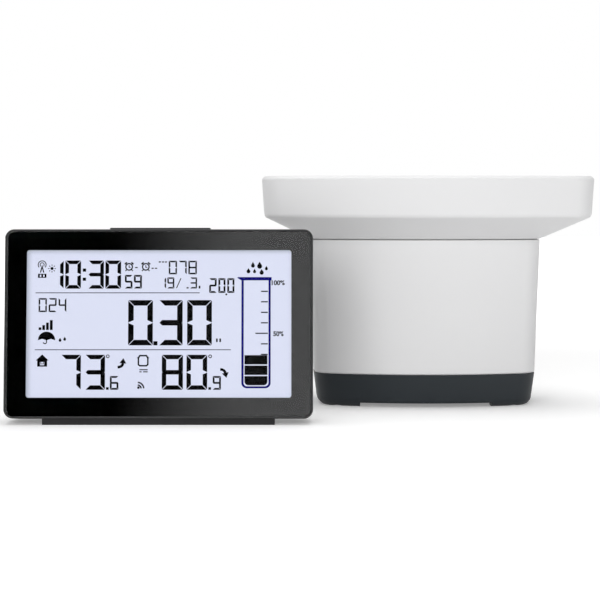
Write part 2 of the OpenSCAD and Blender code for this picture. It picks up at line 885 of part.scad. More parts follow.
// Each part on the board: place as shares of the board's width and of the height up to the reed
// switch, then its width and height as shares of the board's width
module board_parts() {
    place_shares = [[0.25, 0.53], [-0.28, 0.55], [0.30, 0.77], [-0.30, 0.81]];
    size_shares = [[0.30, 0.30], [0.26, 0.20], [0.18, 0.12], [0.24, 0.14]];
    high = 2 * reed_r - running_fit;
    color([0.12, 0.12, 0.13])
        for (k = [0:len(place_shares) - 1])
            translate([place_shares[k].x * board_w, board_back_y - board_t - high,
                       board_case_z + place_shares[k].y * (reed_z - board_case_z)])
                translate([-size_shares[k].x * board_w / 2, 0, -size_shares[k].y * board_w / 2])
                    cube([size_shares[k].x * board_w, high, size_shares[k].y * board_w]);
}

module aerial() {
    z = board_case_z + board_case_h - lid_screw_inset - 2 * lid_boss_r;
    y = board_back_y - board_t - reed_r;
    color([0.72, 0.45, 0.20]) {
        translate([0, y, z]) along(aerial_r, board_w - 2 * lid_boss_r);
        translate([board_w / 2 - lid_boss_r, (y + board_back_y - board_t) / 2, z])
            across(aerial_r, board_back_y - board_t - y);
        translate([board_w / 2 - lid_boss_r, y, z]) sphere(aerial_r);
    }
}

module temperature_probe() {
    y = case_front_y + (case_back_y - case_front_y) / 3;
    color([0.10, 0.10, 0.11])
        translate([board_case_half - case_skin, y, board_case_z + probe_rise]) {
            translate([probe_len / 2, 0, 0]) along(probe_r, probe_len);
            translate([probe_len, 0, 0]) sphere(probe_r);
        }
}

// Body shell and funnel
module body_shell() {
    top = body_top - parting;
    color([0.93, 0.93, 0.93])
        difference() {
            union() {
                difference() {
                    stacked([body_plan(shell_bevel, base_h), body_plan(0, base_h + shell_bevel),
                             body_plan(0, top)],
                            [base_h, base_h + shell_bevel, top]);
                    stacked([body_plan(body_wall, base_h - overrun), body_plan(body_wall, top + overrun)],
                            [base_h - overrun, top + overrun]);
                }
                corners(shell_screw_x, shell_screw_y)
                    translate([0, 0, base_h + lip_h]) cylinder(r = shell_boss_r, h = shell_boss_h);
                for (sx = [-1, 1])
                    for (sy = [-1, 1])
                        translate([sx * shell_screw_x, sy * (shell_screw_y + boss_rib_len / 2),
                                   base_h + lip_h])
                            block(boss_rib_w, boss_rib_len, shell_boss_h);
            }
            corners(shell_screw_x, shell_screw_y)
                translate([0, 0, base_h]) cylinder(r = shell_screw_r + thread_fit, h = shell_boss_h);
        }
}

module funnel() {
    outer = rim_plan(0);
    seat = body_wall + seat_gap;
    color([0.91, 0.91, 0.92])
        difference() {
            union() {
                stacked(
                    [round_plan(outer, sump_r + funnel_wall), round_plan(outer, sump_r + funnel_wall),
                     body_plan(seat, body_top), body_plan(0, body_top), rim_plan(rim_draft), rim_plan(0),
                     rim_plan(rim_bevel)],
                    [sump_under, sump_top - funnel_wall, body_top, body_top, band_z,
                     collector_h - rim_bevel, collector_h]);
                translate([0, 0, body_top - skirt_h]) linear_extrude(skirt_h + skirt_root) difference() {
                    polygon(body_plan(seat, body_top));
                    polygon(body_plan(seat + skirt_t, body_top));
                }
                translate([0, 0, spout_end])
                    cylinder(r = outlet_r + spout_wall, h = sump_under - spout_end + sump_floor_t / 2);
            }
            stacked(
                [round_plan(outer, sump_r), round_plan(outer, sump_r), body_plan(0, body_top),
                 rim_plan(rim_wall), rim_plan(rim_wall - rim_draft / 2),
                 rim_plan(rim_wall - rim_draft / 2)],
                [sump_floor, sump_top, body_top + cone_lift, collector_h - cone_rim_drop,
                 collector_h, collector_h + overrun]);
            translate([0, 0, spout_end - overrun])
                cylinder(r = outlet_r, h = sump_floor - spout_end + 2 * overrun);
        }
}

// Length of a slot that stops short of the strainer's wall
function slot_length(k) =
    let (side = abs(k) * strainer_pitch + strainer_slot / 2)
    2 * sqrt(pow(strainer_inner_r, 2) - pow(side, 2)) - 2 * slot_margin;

module strainer() {
    color([0.30, 0.32, 0.34])
        translate([0, 0, sump_floor + seat_gap]) {
            difference() {
                cylinder(r = sump_r - seat_gap, h = strainer_h);
                translate([0, 0, strainer_t]) cylinder(r = strainer_inner_r, h = strainer_h);
                for (k = [-strainer_steps:strainer_steps])
                    translate([k * strainer_pitch, 0, -overrun])
                        block(strainer_slot, slot_length(k), strainer_t + 2 * overrun);
            }
            cylinder(r = knob_r, h = knob_h);
        }
}

// Display. Each piece is drawn upright and leaned back onto the stand
module on_display() {
    translate([-display_left, -display_front, foot_strip_h]) rotate([-lean, 0, 0]) children();
}

module at_middle() {
    translate([0, mid_z]) children();
}

module frame_bosses() {
    for (sx = [-1, 1])
        for (sz = [-1, 1])
            translate([sx * boss_x, 0, mid_z + sz * boss_z]) children();
}

module front_frame() {
    color([0.13, 0.13, 0.14])
        on_display() difference() {
            union() {
                difference() {
                    upright(0, frame_d) at_middle() rounded(display_w, display_h, display_corner);
                    upright(-overrun, mask_back + overrun) at_middle()
                        rounded(display_w - 2 * border_w, display_h - 2 * border_w,
                                display_corner - border_w);
                    upright(0, frame_d + overrun) at_middle()
                        square([window_w + 2 * web_gap, window_h + 2 * web_gap], center = true);
                    upright(mask_back + web_t, frame_d) at_middle()
                        rounded(display_w - 2 * case_wall, display_h - 2 * case_wall,
                                display_corner - case_wall);
                }
                frame_bosses() translate([0, (mask_back + frame_d) / 2, 0])
                    across(boss_r, frame_d - mask_back);
                for (sx = [-1, 1])
                    for (sz = [-1, 1])
                        translate([sx * stand_off_x, (lcd_front + pcb_front) / 2,
                                   mid_z + sz * (display_h / 2 - case_wall - stand_off_inset)])
                            across(stand_off_r, pcb_front - lcd_front);
            }
            frame_bosses() translate([0, frame_d, 0]) across(case_screw_r + thread_fit, 2 * case_screw_len);
            translate([-bar_w / 2 - key_gap, bar_y - bar_d / 2 - key_gap, display_h - case_wall - overrun])
                cube([bar_w + 2 * key_gap, bar_d + 2 * key_gap, case_wall + 2 * overrun]);
        }
}

module front_lens() {
    color([0.05, 0.05, 0.06, 0.5])
        on_display() upright(lens_set, lens_t) at_middle()
            rounded(display_w - 2 * border_w - 2 * lens_gap, display_h - 2 * border_w - 2 * lens_gap,
                    display_corner - border_w - lens_gap);
}

module lens_mask() {
    color([0.02, 0.02, 0.02])
        on_display() upright(lens_back, mask_t) at_middle() difference() {
            rounded(display_w - 2 * border_w - 2 * lens_gap, display_h - 2 * border_w - 2 * lens_gap,
                    display_corner - border_w - lens_gap);
            square([window_w, window_h], center = true);
        }
}

module lcd_panel() {
    color([0.86, 0.88, 0.96])
        on_display() upright(lcd_front, lcd_t) at_middle() square([lcd_w, lcd_h], center = true);
}

module backlight_guide() {
    color([0.95, 0.95, 0.92])
        on_display() upright(lcd_back, guide_t) translate([0, mid_z + (lcd_h - guide_h) / 2])
            square([lcd_w, guide_h], center = true);
}

module contact_strips() {
    color([0.55, 0.55, 0.60])
        on_display() upright(lcd_back, guide_t) translate([0, mid_z - (lcd_h - strip_h) / 2])
            square([window_w, strip_h], center = true);
}

module display_board() {
    color([0.10, 0.35, 0.22])
        on_display() difference() {
            upright(pcb_front, pcb_t) at_middle() square([pcb_w, pcb_h], center = true);
            frame_bosses() translate([0, pcb_front, 0]) across(boss_r + boss_hole_gap, 4 * pcb_t);
        }
}

// Each chip: place as shares of the board's width and height, then size as shares of its height
module display_chips() {
    place_shares = [[0, -0.22], [-0.22, -0.30], [0.16, -0.34]];
    size_shares = [[0.20, 0.20], [0.22, 0.16], [0.12, 0.08]];
    color([0.10, 0.10, 0.11])
        on_display() for (k = [0:len(place_shares) - 1])
            upright(pcb_back, pcb_t)
                translate([place_shares[k].x * pcb_w, mid_z + place_shares[k].y * pcb_h])
                    square([size_shares[k].x * pcb_h, size_shares[k].y * pcb_h], center = true);
}

module at_key(k) {
    side = k < 3 ? -1 : 1;
    row = k % 3 - 1;
    translate([side * key_x, 0, key_z - row * key_pitch]) children();
}

module key_switches() {
    color([0.65, 0.65, 0.68])
        on_display() {
            for (k = [0:5])
                at_key(k) {
                    translate([-switch_w / 2, pcb_back, -switch_w / 2])
                        cube([switch_w, switch_h, switch_w]);
                    translate([0, switch_top - plunger_h / 2, 0]) across(plunger_r, plunger_h);
                }
            translate([-switch_w / 2, pcb_back, bar_under - bar_travel - layer_t - bar_switch_h])
                cube([switch_w, switch_h, bar_switch_h]);
        }
}

module buzzer() {
    color([0.10, 0.10, 0.11])
        on_display() translate([sound_x, pcb_back + buzzer_h / 2, sound_z]) across(buzzer_r, buzzer_h);
}

module display_aerial() {
    color([0.72, 0.45, 0.20])
        on_display() translate([0, pcb_back + aerial_r, mid_z - pcb_h / 2 + 4 * aerial_r])
            along(aerial_r, pcb_w / 2);
}

module room_probe() {
    color([0.10, 0.10, 0.11])
        on_display() translate([-boss_x + 4 * boss_r, pcb_back + switch_h / 2, mid_z - boss_z])
            across(probe_r, switch_h);
}

// Rear housing with its walls drawn in by an amount, started ahead of the frame's edge by another
module rear_shell_solid(t, ahead) {
    low = back_low + t;
    side = back_inset + t;
    r = display_corner - t;
    front = box_plan(display_w - 2 * t, display_h - 2 * t, r, mid_z);
    back = box_plan(display_w - 2 * side, display_h - low - side, r, (low + display_h - side) / 2);
    rotate([90, 0, 0])
        stacked([back, front, front], [t - display_d, -frame_d - shoulder, ahead - frame_d]);
}

module well_box(t, y, depth) {
    translate([-well_len / 2 - t, y, well_z - well_h / 2 - t])
        cube([well_len + 2 * t, depth, well_h + 2 * t]);
}

module hinge_ears() {
    for (s = [-1, 1])
        translate([s * (stand_w / 2 + hinge_ear_gap + hinge_ear_t / 2), 0, 0]) {
            translate([0, hinge_y, hinge_z]) along(barrel_r, hinge_ear_t);
            translate([-hinge_ear_t / 2, hinge_y - 2 * barrel_r, hinge_z])
                cube([hinge_ear_t, 3 * barrel_r, back_low + barrel_r]);
        }
}

module sound_slots() {
    for (k = [0:slot_count - 1])
        translate([sound_x - slot_len / 2, frame_d + shoulder,
                   sound_z + (k - (slot_count - 1) / 2) * slot_pitch - slot_w / 2])
            cube([slot_len, display_d, slot_w]);
}

module keyholes() {
    for (s = [-1, 1])
        translate([s * keyhole_x, display_d, keyhole_z]) {
            across(keyhole_r, 4 * case_wall);
            translate([0, 0, keyhole_drop]) across(keyhole_slot_r, 4 * case_wall);
            translate([-keyhole_slot_r, -2 * case_wall, 0])
                cube([2 * keyhole_slot_r, 4 * case_wall, keyhole_drop]);
        }
}

// Recess of the battery door, open at the back and at the top, where the door slides out
module door_recess() {
    low = door_low - door_gap;
    w = door_w + 2 * door_gap;
    translate([-w / 2, display_d - door_t - door_gap, low])
        cube([w, door_t + door_gap + overrun, display_h - low + overrun]);
}

module rear_housing() {
    color([0.16, 0.16, 0.17])
        on_display() difference() {
            union() {
                difference() {
                    rear_shell_solid(0, 0);
                    difference() {
                        rear_shell_solid(case_wall, overrun);
                        well_box(well_wall, well_front - well_wall, display_d);
                        door_backing();
                        frame_bosses() translate([0, display_d, 0])
                            across(case_head_r + seat_gap + well_wall, 2 * (display_d - frame_d));
                    }
                }
                hinge_ears();
            }
            well_box(0, well_front, display_d);
            door_recess();
            frame_bosses() {
                translate([0, display_d, 0]) across(case_screw_r + running_fit, 2 * display_d);
                translate([0, frame_d + shoulder + display_d / 2 - case_head_h / 2, 0])
                    across(case_head_r + seat_gap, display_d);
            }
            for (k = [0:5])
                at_key(k) upright(frame_d + shoulder, display_d)
                    rounded(key_w + 2 * key_gap, key_h + 2 * key_gap, key_h / 2);
            sound_slots();
            keyholes();
            translate([0, hinge_y, hinge_z]) along(pin_r + running_fit, stand_w + 6 * hinge_ear_t);
        }
}

// Floor under the battery door's recess
module door_backing() {
    low = door_low - case_wall;
    w = door_w + 2 * case_wall;
    translate([-w / 2, display_d - door_t - case_wall, low])
        cube([w, door_t + case_wall, display_h]);
}

module case_screws() {
    color([0.75, 0.75, 0.77])
        on_display() frame_bosses()
            translate([0, frame_d + shoulder - case_head_h / 2, 0]) rotate([90, 0, 0])
                screw(case_screw_r, case_screw_len, case_head_r, case_head_h);
}

module display_cells() {
    color([0.20, 0.45, 0.30])
        on_display() for (s = [-1, 1])
            translate([0, (well_front + well_back) / 2, well_z + s * well_pitch / 2])
                mirror([s > 0 ? 1 : 0, 0, 0]) cell(slim_cell_d, slim_cell_len, slim_nub_r, slim_nub_len);
}

module display_contacts() {
    color([0.80, 0.80, 0.82])
        on_display() translate([0, (well_front + well_back) / 2, well_z]) rotate([90, 0, 0])
            end_contacts(well_len, well_pitch, slim_contact_size);
}

// The strip lies flat on the ground and meets the frame's sloping underside
module foot_strip() {
    color([0.14, 0.14, 0.15])
        translate([-display_left, -display_front, 0]) intersection() {
            rotate([90, 0, 90]) linear_extrude(foot_strip_w, center = true)
                polygon([[strip_y, 0], [strip_y + strip_d, 0],
                         [strip_y + strip_d, foot_strip_h - (strip_y + strip_d) * tan(lean)],
                         [strip_y, foot_strip_h - strip_y * tan(lean)]]);
            translate([0, display_d, 0]) rotate([90, 0, 0]) linear_extrude(2 * display_d)
                translate([0, foot_strip_h]) rounded(foot_strip_w, 2 * foot_strip_h, strip_corner);
        }
}

module hinge_pins() {
    color([0.75, 0.75, 0.77])
        on_display() for (s = [-1, 1])
            translate([s * (stand_w / 2 + hinge_ear_gap + hinge_ear_t - pin_len / 2), hinge_y, hinge_z])
                along(pin_r, pin_len);
}

module press_bar() {
    color([0.12, 0.12, 0.13])
        on_display() translate([0, bar_y, display_h + bar_proud]) {
            translate([0, 0, -case_wall - bar_proud - key_gap])
                block(bar_w, bar_d, case_wall + bar_proud + key_gap);
            translate([0, 0, bar_under - display_h - bar_proud])
                block(bar_w + 4 * key_gap, bar_d + 2 * key_gap, bar_flange_t);
        }
}

module rear_key(k) {
    inner = display_d - case_wall;
    stem_end = switch_top + key_travel + layer_t;
    color([0.25, 0.25, 0.27])
        on_display() at_key(k) {
            upright(inner - key_gap, case_wall + key_gap + key_proud)
                rounded(key_w, key_h, key_h / 2 - key_gap);
            upright(inner - key_gap - key_flange_t, key_flange_t)
                rounded(key_w + 2 * key_flange, key_h + 2 * key_flange, key_h / 2);
            translate([0, (stem_end + inner - key_gap) / 2, 0]) across(stem_r, inner - key_gap - stem_end);
        }
}

module battery_door() {
    color([0.17, 0.17, 0.18])
        on_display() {
            translate([-door_w / 2, display_d - door_t, door_low])
                cube([door_w, door_t, display_h - back_inset - door_low]);
            for (k = [0:door_ribs - 1])
                translate([-door_rib_w / 2, display_d, door_low + well_h / 2 + k * door_rib_pitch])
                    cube([door_rib_w, door_rib_t, door_rib_h]);
        }
}

// The stand is drawn lying flat on the ground behind its hinge
module on_hinge() {
    translate([-display_left,
               -display_front + hinge_y * cos(lean) + hinge_z * sin(lean), barrel_r]) children();
}

module desk_stand() {
    color([0.14, 0.14, 0.15])
        on_hinge() difference() {
            union() {
                along(barrel_r, stand_w);
                translate([-stand_w / 2, 0, -barrel_r]) cube([stand_w, stand_len / 2, stand_t]);
                translate([0, stand_len / 2, -barrel_r]) linear_extrude(stand_t)
                    rounded(stand_w, stand_len, display_corner);
            }
            along(pin_r + running_fit, stand_w + 2 * overrun);
            for (s = [-1, 1])
                translate([s * (stand_w / 2 - stand_pad_inset), stand_len - stand_pad_inset,
                           -barrel_r - overrun])
                    cylinder(r = stand_pad_r, h = stand_pad_t + overrun);
        }
}

module stand_pads() {
    color([0.08, 0.08, 0.08])
        on_hinge() for (s = [-1, 1])
            translate([s * (stand_w / 2 - stand_pad_inset), stand_len - stand_pad_inset, -barrel_r])
                cylinder(r = stand_pad_r, h = stand_pad_t);
}

base_tray();
body_shell();
shell_screws();
sensor_cells();
sensor_contacts();
battery_leads();
battery_gasket();
battery_cover();
cover_screws();
bucket_cradle();
cradle_screws();
stop_pads();
drain_screens();
board_case();
board_lid();
board_seal();
lid_screws();
switch_board();
reed_switch();
board_parts();
aerial();
temperature_probe();
funnel();
strainer();
tipping_bucket();
bucket_axle();
bucket_magnet();
front_frame();
front_lens();
lens_mask();
lcd_panel();
backlight_guide();
contact_strips();
display_board();
display_chips();
key_switches();
buzzer();
display_aerial();
room_probe();
rear_housing();
case_screws();
display_cells();
display_contacts();
foot_strip();
hinge_pins();
press_bar();
battery_door();
desk_stand();
stand_pads();
rear_key(0);  // rear_key_1
rear_key(1);  // rear_key_2
rear_key(2);  // rear_key_3
rear_key(3);  // rear_key_4
rear_key(4);  // rear_key_5
rear_key(5);  // rear_key_6
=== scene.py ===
import json
import math
import bpy
import bmesh
from mathutils import Matrix, Vector


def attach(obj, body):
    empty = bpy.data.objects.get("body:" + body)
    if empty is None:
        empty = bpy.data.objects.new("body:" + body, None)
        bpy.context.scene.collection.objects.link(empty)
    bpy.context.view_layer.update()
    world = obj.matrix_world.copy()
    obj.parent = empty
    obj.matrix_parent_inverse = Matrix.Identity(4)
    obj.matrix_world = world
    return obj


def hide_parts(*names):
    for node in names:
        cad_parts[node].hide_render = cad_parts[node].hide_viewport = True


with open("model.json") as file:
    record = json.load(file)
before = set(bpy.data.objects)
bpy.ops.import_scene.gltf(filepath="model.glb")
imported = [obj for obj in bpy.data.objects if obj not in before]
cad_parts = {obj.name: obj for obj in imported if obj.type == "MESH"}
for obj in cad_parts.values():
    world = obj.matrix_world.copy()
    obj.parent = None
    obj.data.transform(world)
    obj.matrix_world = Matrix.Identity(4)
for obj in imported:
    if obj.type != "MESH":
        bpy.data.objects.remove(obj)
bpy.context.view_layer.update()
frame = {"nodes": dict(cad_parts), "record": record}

scene = bpy.context.scene
millimetres = Matrix.Scale(0.001, 4)      # pieces are drawn in millimetres
displaySpot = {"left": 117, "front": 98, "up": 2.8, "lean": 7}
onDisplay = (Matrix.Translation((-displaySpot["left"], -displaySpot["front"], displaySpot["up"]))
             @ Matrix.Rotation(math.radians(-displaySpot["lean"]), 4, "X"))
print("frame loaded with", len(frame["nodes"]), "parts")

# Camera, straight in front and a little above
photoView = {"place": (-0.0575, -0.9, 0.094), "target": (-0.0575, 0.0, 0.0475), "lens": 115.3, "nearest": 0.01}
cameraData = bpy.data.cameras.new("photoCamera")
cameraData.lens = photoView["lens"]
cameraData.clip_start = photoView["nearest"]
photoCamera = bpy.data.objects.new("photoCamera", cameraData)
photoCamera.location = photoView["place"]
lookAlong = Vector(photoView["target"]) - Vector(photoView["place"])
photoCamera.rotation_euler = lookAlong.to_track_quat("-Z", "Y").to_euler()
scene.collection.objects.link(photoCamera)
scene.camera = photoCamera
scene.view_settings.view_transform = "Standard"

lampTarget = (-0.05, 0, 0.05)
softboxes = {
    "front": {"place": (-0.3, -1.52, 0.5), "size": (1.0, 0.8), "watts": 11.5, "mirrored": False},
    "overhead": {"place": (-0.05, 0.15, 1.3), "size": (1.1, 1.0), "watts": 7.0, "mirrored": True},
}
for lampName, softbox in softboxes.items():
    lampData = bpy.data.lights.new(lampName + "Softbox", "AREA")
    lampData.shape = "RECTANGLE"
    lampData.size, lampData.size_y = softbox["size"]
    lampData.energy = softbox["watts"]
    lamp = bpy.data.objects.new(lampName + "Softbox", lampData)
    lamp.location = softbox["place"]
    lamp.rotation_euler = (Vector(lampTarget) - lamp.location).to_track_quat("-Z", "Y").to_euler()
    lamp.visible_glossy = lamp.visible_transmission = softbox["mirrored"]
    scene.collection.objects.link(lamp)
print("camera and lights placed")


# Node helpers; a value may be the output of another node
def feed(tree, socket, value):
    if isinstance(value, bpy.types.NodeSocket):
        tree.links.new(value, socket)
    else:
        socket.default_value = value


# Sets inputs by their labels, in which an underscore stands for a space, and gives the node's outputs
def setInputs(tree, node, values):
    for label, value in values.items():
        feed(tree, node.inputs[label.replace("_", " ")], value)
    return node.outputs


def addNode(tree, kind, operation=None, **values):
    node = tree.nodes.new(kind)
    if operation:
        node.operation = operation
    return setInputs(tree, node, values)


def mathOf(tree, operation, *values):
    node = tree.nodes.new("ShaderNodeMath")
    node.operation = operation
    for socket, value in zip(node.inputs, values):
        feed(tree, socket, value)
    return node.outputs[0]


def between(tree, factor, low, high):
    return addNode(tree, "ShaderNodeMapRange", Value=factor, To_Min=low, To_Max=high)["Result"]


# From low to high, smoothly, while the value crosses a span
def faded(tree, value, span, low=0.0, high=1.0):
    ramp = tree.nodes.new("ShaderNodeMapRange")
    ramp.interpolation_type = "SMOOTHSTEP"
    return setInputs(tree, ramp, {"Value": value, "From Min": span[0], "From Max": span[1],
                                  "To Min": low, "To Max": high})["Result"]


def blendColours(tree, factor, first, second):
    mix = tree.nodes.new("ShaderNodeMix")
    mix.data_type = "RGBA"
    first, second = [(*value, 1) if isinstance(value, tuple) else value for value in (first, second)]
    return setInputs(tree, mix, {"Factor": factor, "A": first, "B": second})["Result"]


def shaded(colour, share):
    return tuple(c * share for c in colour)


def seenDirectly(tree):
    rays = addNode(tree, "ShaderNodeLightPath")
    seen = rays["Is Camera Ray"]
    for label in ("Is Glossy Ray", "Is Transmission Ray"):
        seen = mathOf(tree, "MAXIMUM", seen, rays[label])
    return seen


def ownPlace(tree):
    return addNode(tree, "ShaderNodeTexCoord")["Object"]


def newMaterial(name):
    material = bpy.data.materials.new(name)
    material.use_nodes = True
    return material, material.node_tree


def paint(tree, **values):
    setInputs(tree, tree.nodes["Principled BSDF"], values)


studio = {"ambient": 0.42, "backdrop": 1.0, "floorColour": (0.93, 0.93, 0.93), "floorLift": 0.25,
          "floorFade": (0.3, 0.7), "floorReach": 4, "floorRoughness": 0.9, "mottleScale": 6, "mottleShade": 0.985}
world = bpy.data.worlds.new("studio")
scene.world = world
world.use_nodes = True
tree = world.node_tree
tree.nodes.clear()
blend = tree.nodes.new("ShaderNodeMixShader")
feed(tree, blend.inputs[0], seenDirectly(tree))
for index, label in ((1, "ambient"), (2, "backdrop")):
    light = addNode(tree, "ShaderNodeBackground", Color=(1, 1, 1, 1), Strength=studio[label])
    feed(tree, blend.inputs[index], light["Background"])
addNode(tree, "ShaderNodeOutputWorld", Surface=blend.outputs["Shader"])


# A flat sheet of the studio, given by its four corners
def studioSheet(name, corners, material):
    mesh = bpy.data.meshes.new(name)
    mesh.from_pydata(corners, [], [(0, 1, 2, 3)])
    mesh.materials.append(material)
    sheet = bpy.data.objects.new(name, mesh)
    scene.collection.objects.link(sheet)
    return sheet


# The floor is white where the camera looks, and keeps its shadows
def floorFinish():
    material, tree = newMaterial("paleFloor")
    colour = studio["floorColour"]
    mottle = addNode(tree, "ShaderNodeTexNoise", Scale=studio["mottleScale"])["Fac"]
    away = addNode(tree, "ShaderNodeVectorMath", "LENGTH", Vector=ownPlace(tree))["Value"]
    fade = faded(tree, away, studio["floorFade"], studio["floorLift"])
    paint(tree, Roughness=studio["floorRoughness"], Specular_IOR_Level=0.0, Emission_Strength=1.0,
          Base_Color=blendColours(tree, mottle, colour, shaded(colour, studio["mottleShade"])),
          Emission_Color=mathOf(tree, "MULTIPLY", fade, seenDirectly(tree)))
    return material


reach = studio["floorReach"]
floor = studioSheet("floor", [(-reach, -reach, 0), (reach, -reach, 0), (reach, reach, 0), (-reach, reach, 0)],
                    floorFinish())

# A card behind the camera, dark on its left, that only the glossy faces show
card = {"x": (-0.7, 0.4), "y": -1.6, "z": (-0.1, 0.9), "fade": (-0.29, -0.108), "bright": 0.85}


def cardFinish():
    material, tree = newMaterial("reflectorCard")
    tree.nodes.clear()
    across = addNode(tree, "ShaderNodeSeparateXYZ", Vector=ownPlace(tree))["X"]
    glow = addNode(tree, "ShaderNodeEmission", Color=faded(tree, across, card["fade"], 0.0, card["bright"]))
    addNode(tree, "ShaderNodeOutputMaterial", Surface=glow["Emission"])
    return material


cardCorners = [(card["x"][i], card["y"], card["z"][k]) for i, k in ((0, 0), (1, 0), (1, 1), (0, 1))]
cardObject = studioSheet("reflectorCard", cardCorners, cardFinish())
cardObject.visible_camera = cardObject.visible_diffuse = cardObject.visible_shadow = False
print("floor, backdrop and card made")


# A node group with its own inputs and outputs, each a label and its kind
def newGroup(name, kind, inputs, outputs):
    group = bpy.data.node_groups.new(name, kind + "NodeTree")
    for flow, sockets in (("INPUT", inputs), ("OUTPUT", outputs)):
        for label, socketKind in sockets.items():
            group.interface.new_socket(label, in_out=flow, socket_type="NodeSocket" + socketKind)
    return group, group.nodes.new("NodeGroupInput").outputs, group.nodes.new("NodeGroupOutput").inputs


# Finishes
surface = {"pitShare": 0.6, "cloudDetail": 4, "patchScale": 25, "patchDetail": 6, "dustColour": (0.42, 0.41, 0.38),
           "smearDetail": 5, "smearDistortion": 0.8, "bumpStrength": 0.7}


# Fine texture of a moulded or cast surface: its grain, and slow clouds in its colour
def makeSkin():
    group, given, made = newGroup("mouldedSkin", "Shader", {"Grain Scale": "Float", "Cloud Scale": "Float"},
                                  {"Grain": "Float", "Clouds": "Float"})
    fine = {"Vector": ownPlace(group), "Scale": given["Grain Scale"]}
    grain = addNode(group, "ShaderNodeTexNoise", **fine)["Fac"]
    pits = addNode(group, "ShaderNodeTexVoronoi", **fine)["Distance"]
    clouds = addNode(group, "ShaderNodeTexNoise", Vector=fine["Vector"], Scale=given["Cloud Scale"],
                     Detail=surface["cloudDetail"])["Fac"]
    feed(group, made["Grain"], mathOf(group, "ADD", grain, mathOf(group, "MULTIPLY", pits, surface["pitShare"])))
    feed(group, made["Clouds"], clouds)
    return group


# Dust that settles on faces that look up, in patches
def makeDust():
    group, given, made = newGroup("settledDust", "Shader", {"Amount": "Float", "Patch Scale": "Float"},
                                  {"Dust": "Float"})
    normal = addNode(group, "ShaderNodeTexCoord")["Normal"]
    upward = mathOf(group, "MAXIMUM", addNode(group, "ShaderNodeSeparateXYZ", Vector=normal)["Z"], 0.0)
    patches = addNode(group, "ShaderNodeTexNoise", Vector=ownPlace(group), Scale=given["Patch Scale"],
                      Detail=surface["patchDetail"])["Fac"]
    patchy = mathOf(group, "MULTIPLY", patches, given["Amount"])
    feed(group, made["Dust"], mathOf(group, "MULTIPLY", upward, patchy))
    return group


# Faint marks of hands and weather, used on the roughness
def makeRubbing():
    group, given, made = newGroup("handRubbing", "Shader", {"Mark Scale": "Float"}, {"Rubbing": "Float"})
    smears = addNode(group, "ShaderNodeTexNoise", Vector=ownPlace(group), Scale=given["Mark Scale"],
                     Detail=surface["smearDetail"], Distortion=surface["smearDistortion"])
    feed(group, made["Rubbing"], smears["Fac"])
    return group


mouldedSkin, settledDust, handRubbing = makeSkin(), makeDust(), makeRubbing()


def useGroup(tree, group, **values):
    node = tree.nodes.new("ShaderNodeGroup")
    node.node_tree = group
    return setInputs(tree, node, values)


# Moulded plastic, rubber and the like
def moulded(name, colour, rough, grain, depth, shade, cloud, dust, marks=60, spread=0.06, **more):
    material, tree = newMaterial(name)
    skin = useGroup(tree, mouldedSkin, Grain_Scale=grain, Cloud_Scale=cloud)
    dusty = useGroup(tree, settledDust, Amount=dust, Patch_Scale=surface["patchScale"])["Dust"]
    rubbed = useGroup(tree, handRubbing, Mark_Scale=marks)["Rubbing"]
    body = blendColours(tree, skin["Clouds"], colour, shaded(colour, shade))
    bump = addNode(tree, "ShaderNodeBump", Distance=depth / 1000, Strength=surface["bumpStrength"],
                   Height=skin["Grain"])
    paint(tree, Base_Color=blendColours(tree, dusty, body, surface["dustColour"]), Normal=bump["Normal"],
          Roughness=between(tree, rubbed, rough - spread, rough + spread), **more)
    return material


# Drawn or turned metal with fine lines along one direction
metal = {"lines": 2500, "lineDepth": 0.000004, "lineShade": 0.78, "roughness": (0.7, 1.4), "markScale": 200}


def drawnMetal(name, colour, rough, along=(1, 1, 0.05)):
    material, tree = newMaterial(name)
    stretched = addNode(tree, "ShaderNodeMapping", Vector=ownPlace(tree), Scale=along)["Vector"]
    lines = addNode(tree, "ShaderNodeTexNoise", Vector=stretched, Scale=metal["lines"])["Fac"]
    rubbed = useGroup(tree, handRubbing, Mark_Scale=metal["markScale"])["Rubbing"]
    bump = addNode(tree, "ShaderNodeBump", Distance=metal["lineDepth"], Height=lines)
    smoothest, roughest = [rough * share for share in metal["roughness"]]
    paint(tree, Metallic=1.0, Base_Color=blendColours(tree, lines, colour, shaded(colour, metal["lineShade"])),
          Roughness=between(tree, rubbed, smoothest, roughest), Normal=bump["Normal"])
    return material


# Clear moulding: the front lens and the reed switch's glass
clear = {"markScale": 35, "grainScale": 400, "cloudScale": 12, "shade": 0.99}


def clearSheet(name, colour, rough, index):
    material, tree = newMaterial(name)
    rubbed = useGroup(tree, handRubbing, Mark_Scale=clear["markScale"])["Rubbing"]
    skin = useGroup(tree, mouldedSkin, Grain_Scale=clear["grainScale"], Cloud_Scale=clear["cloudScale"])
    paint(tree, Transmission_Weight=1.0, IOR=index, Roughness=between(tree, rubbed, rough, rough * 2),
          Base_Color=blendColours(tree, skin["Clouds"], colour, shaded(colour, clear["shade"])))
    return material


# Object coordinates turned into the display's own upright frame, in millimetres
def displayCoordinates(tree):
    shift, rotation, scale = (millimetres @ onDisplay).inverted().decompose()
    moved = addNode(tree, "ShaderNodeMapping", Vector=ownPlace(tree), Location=shift,
                    Rotation=rotation.to_euler(), Scale=scale)
    return addNode(tree, "ShaderNodeSeparateXYZ", Vector=moved["Vector"])


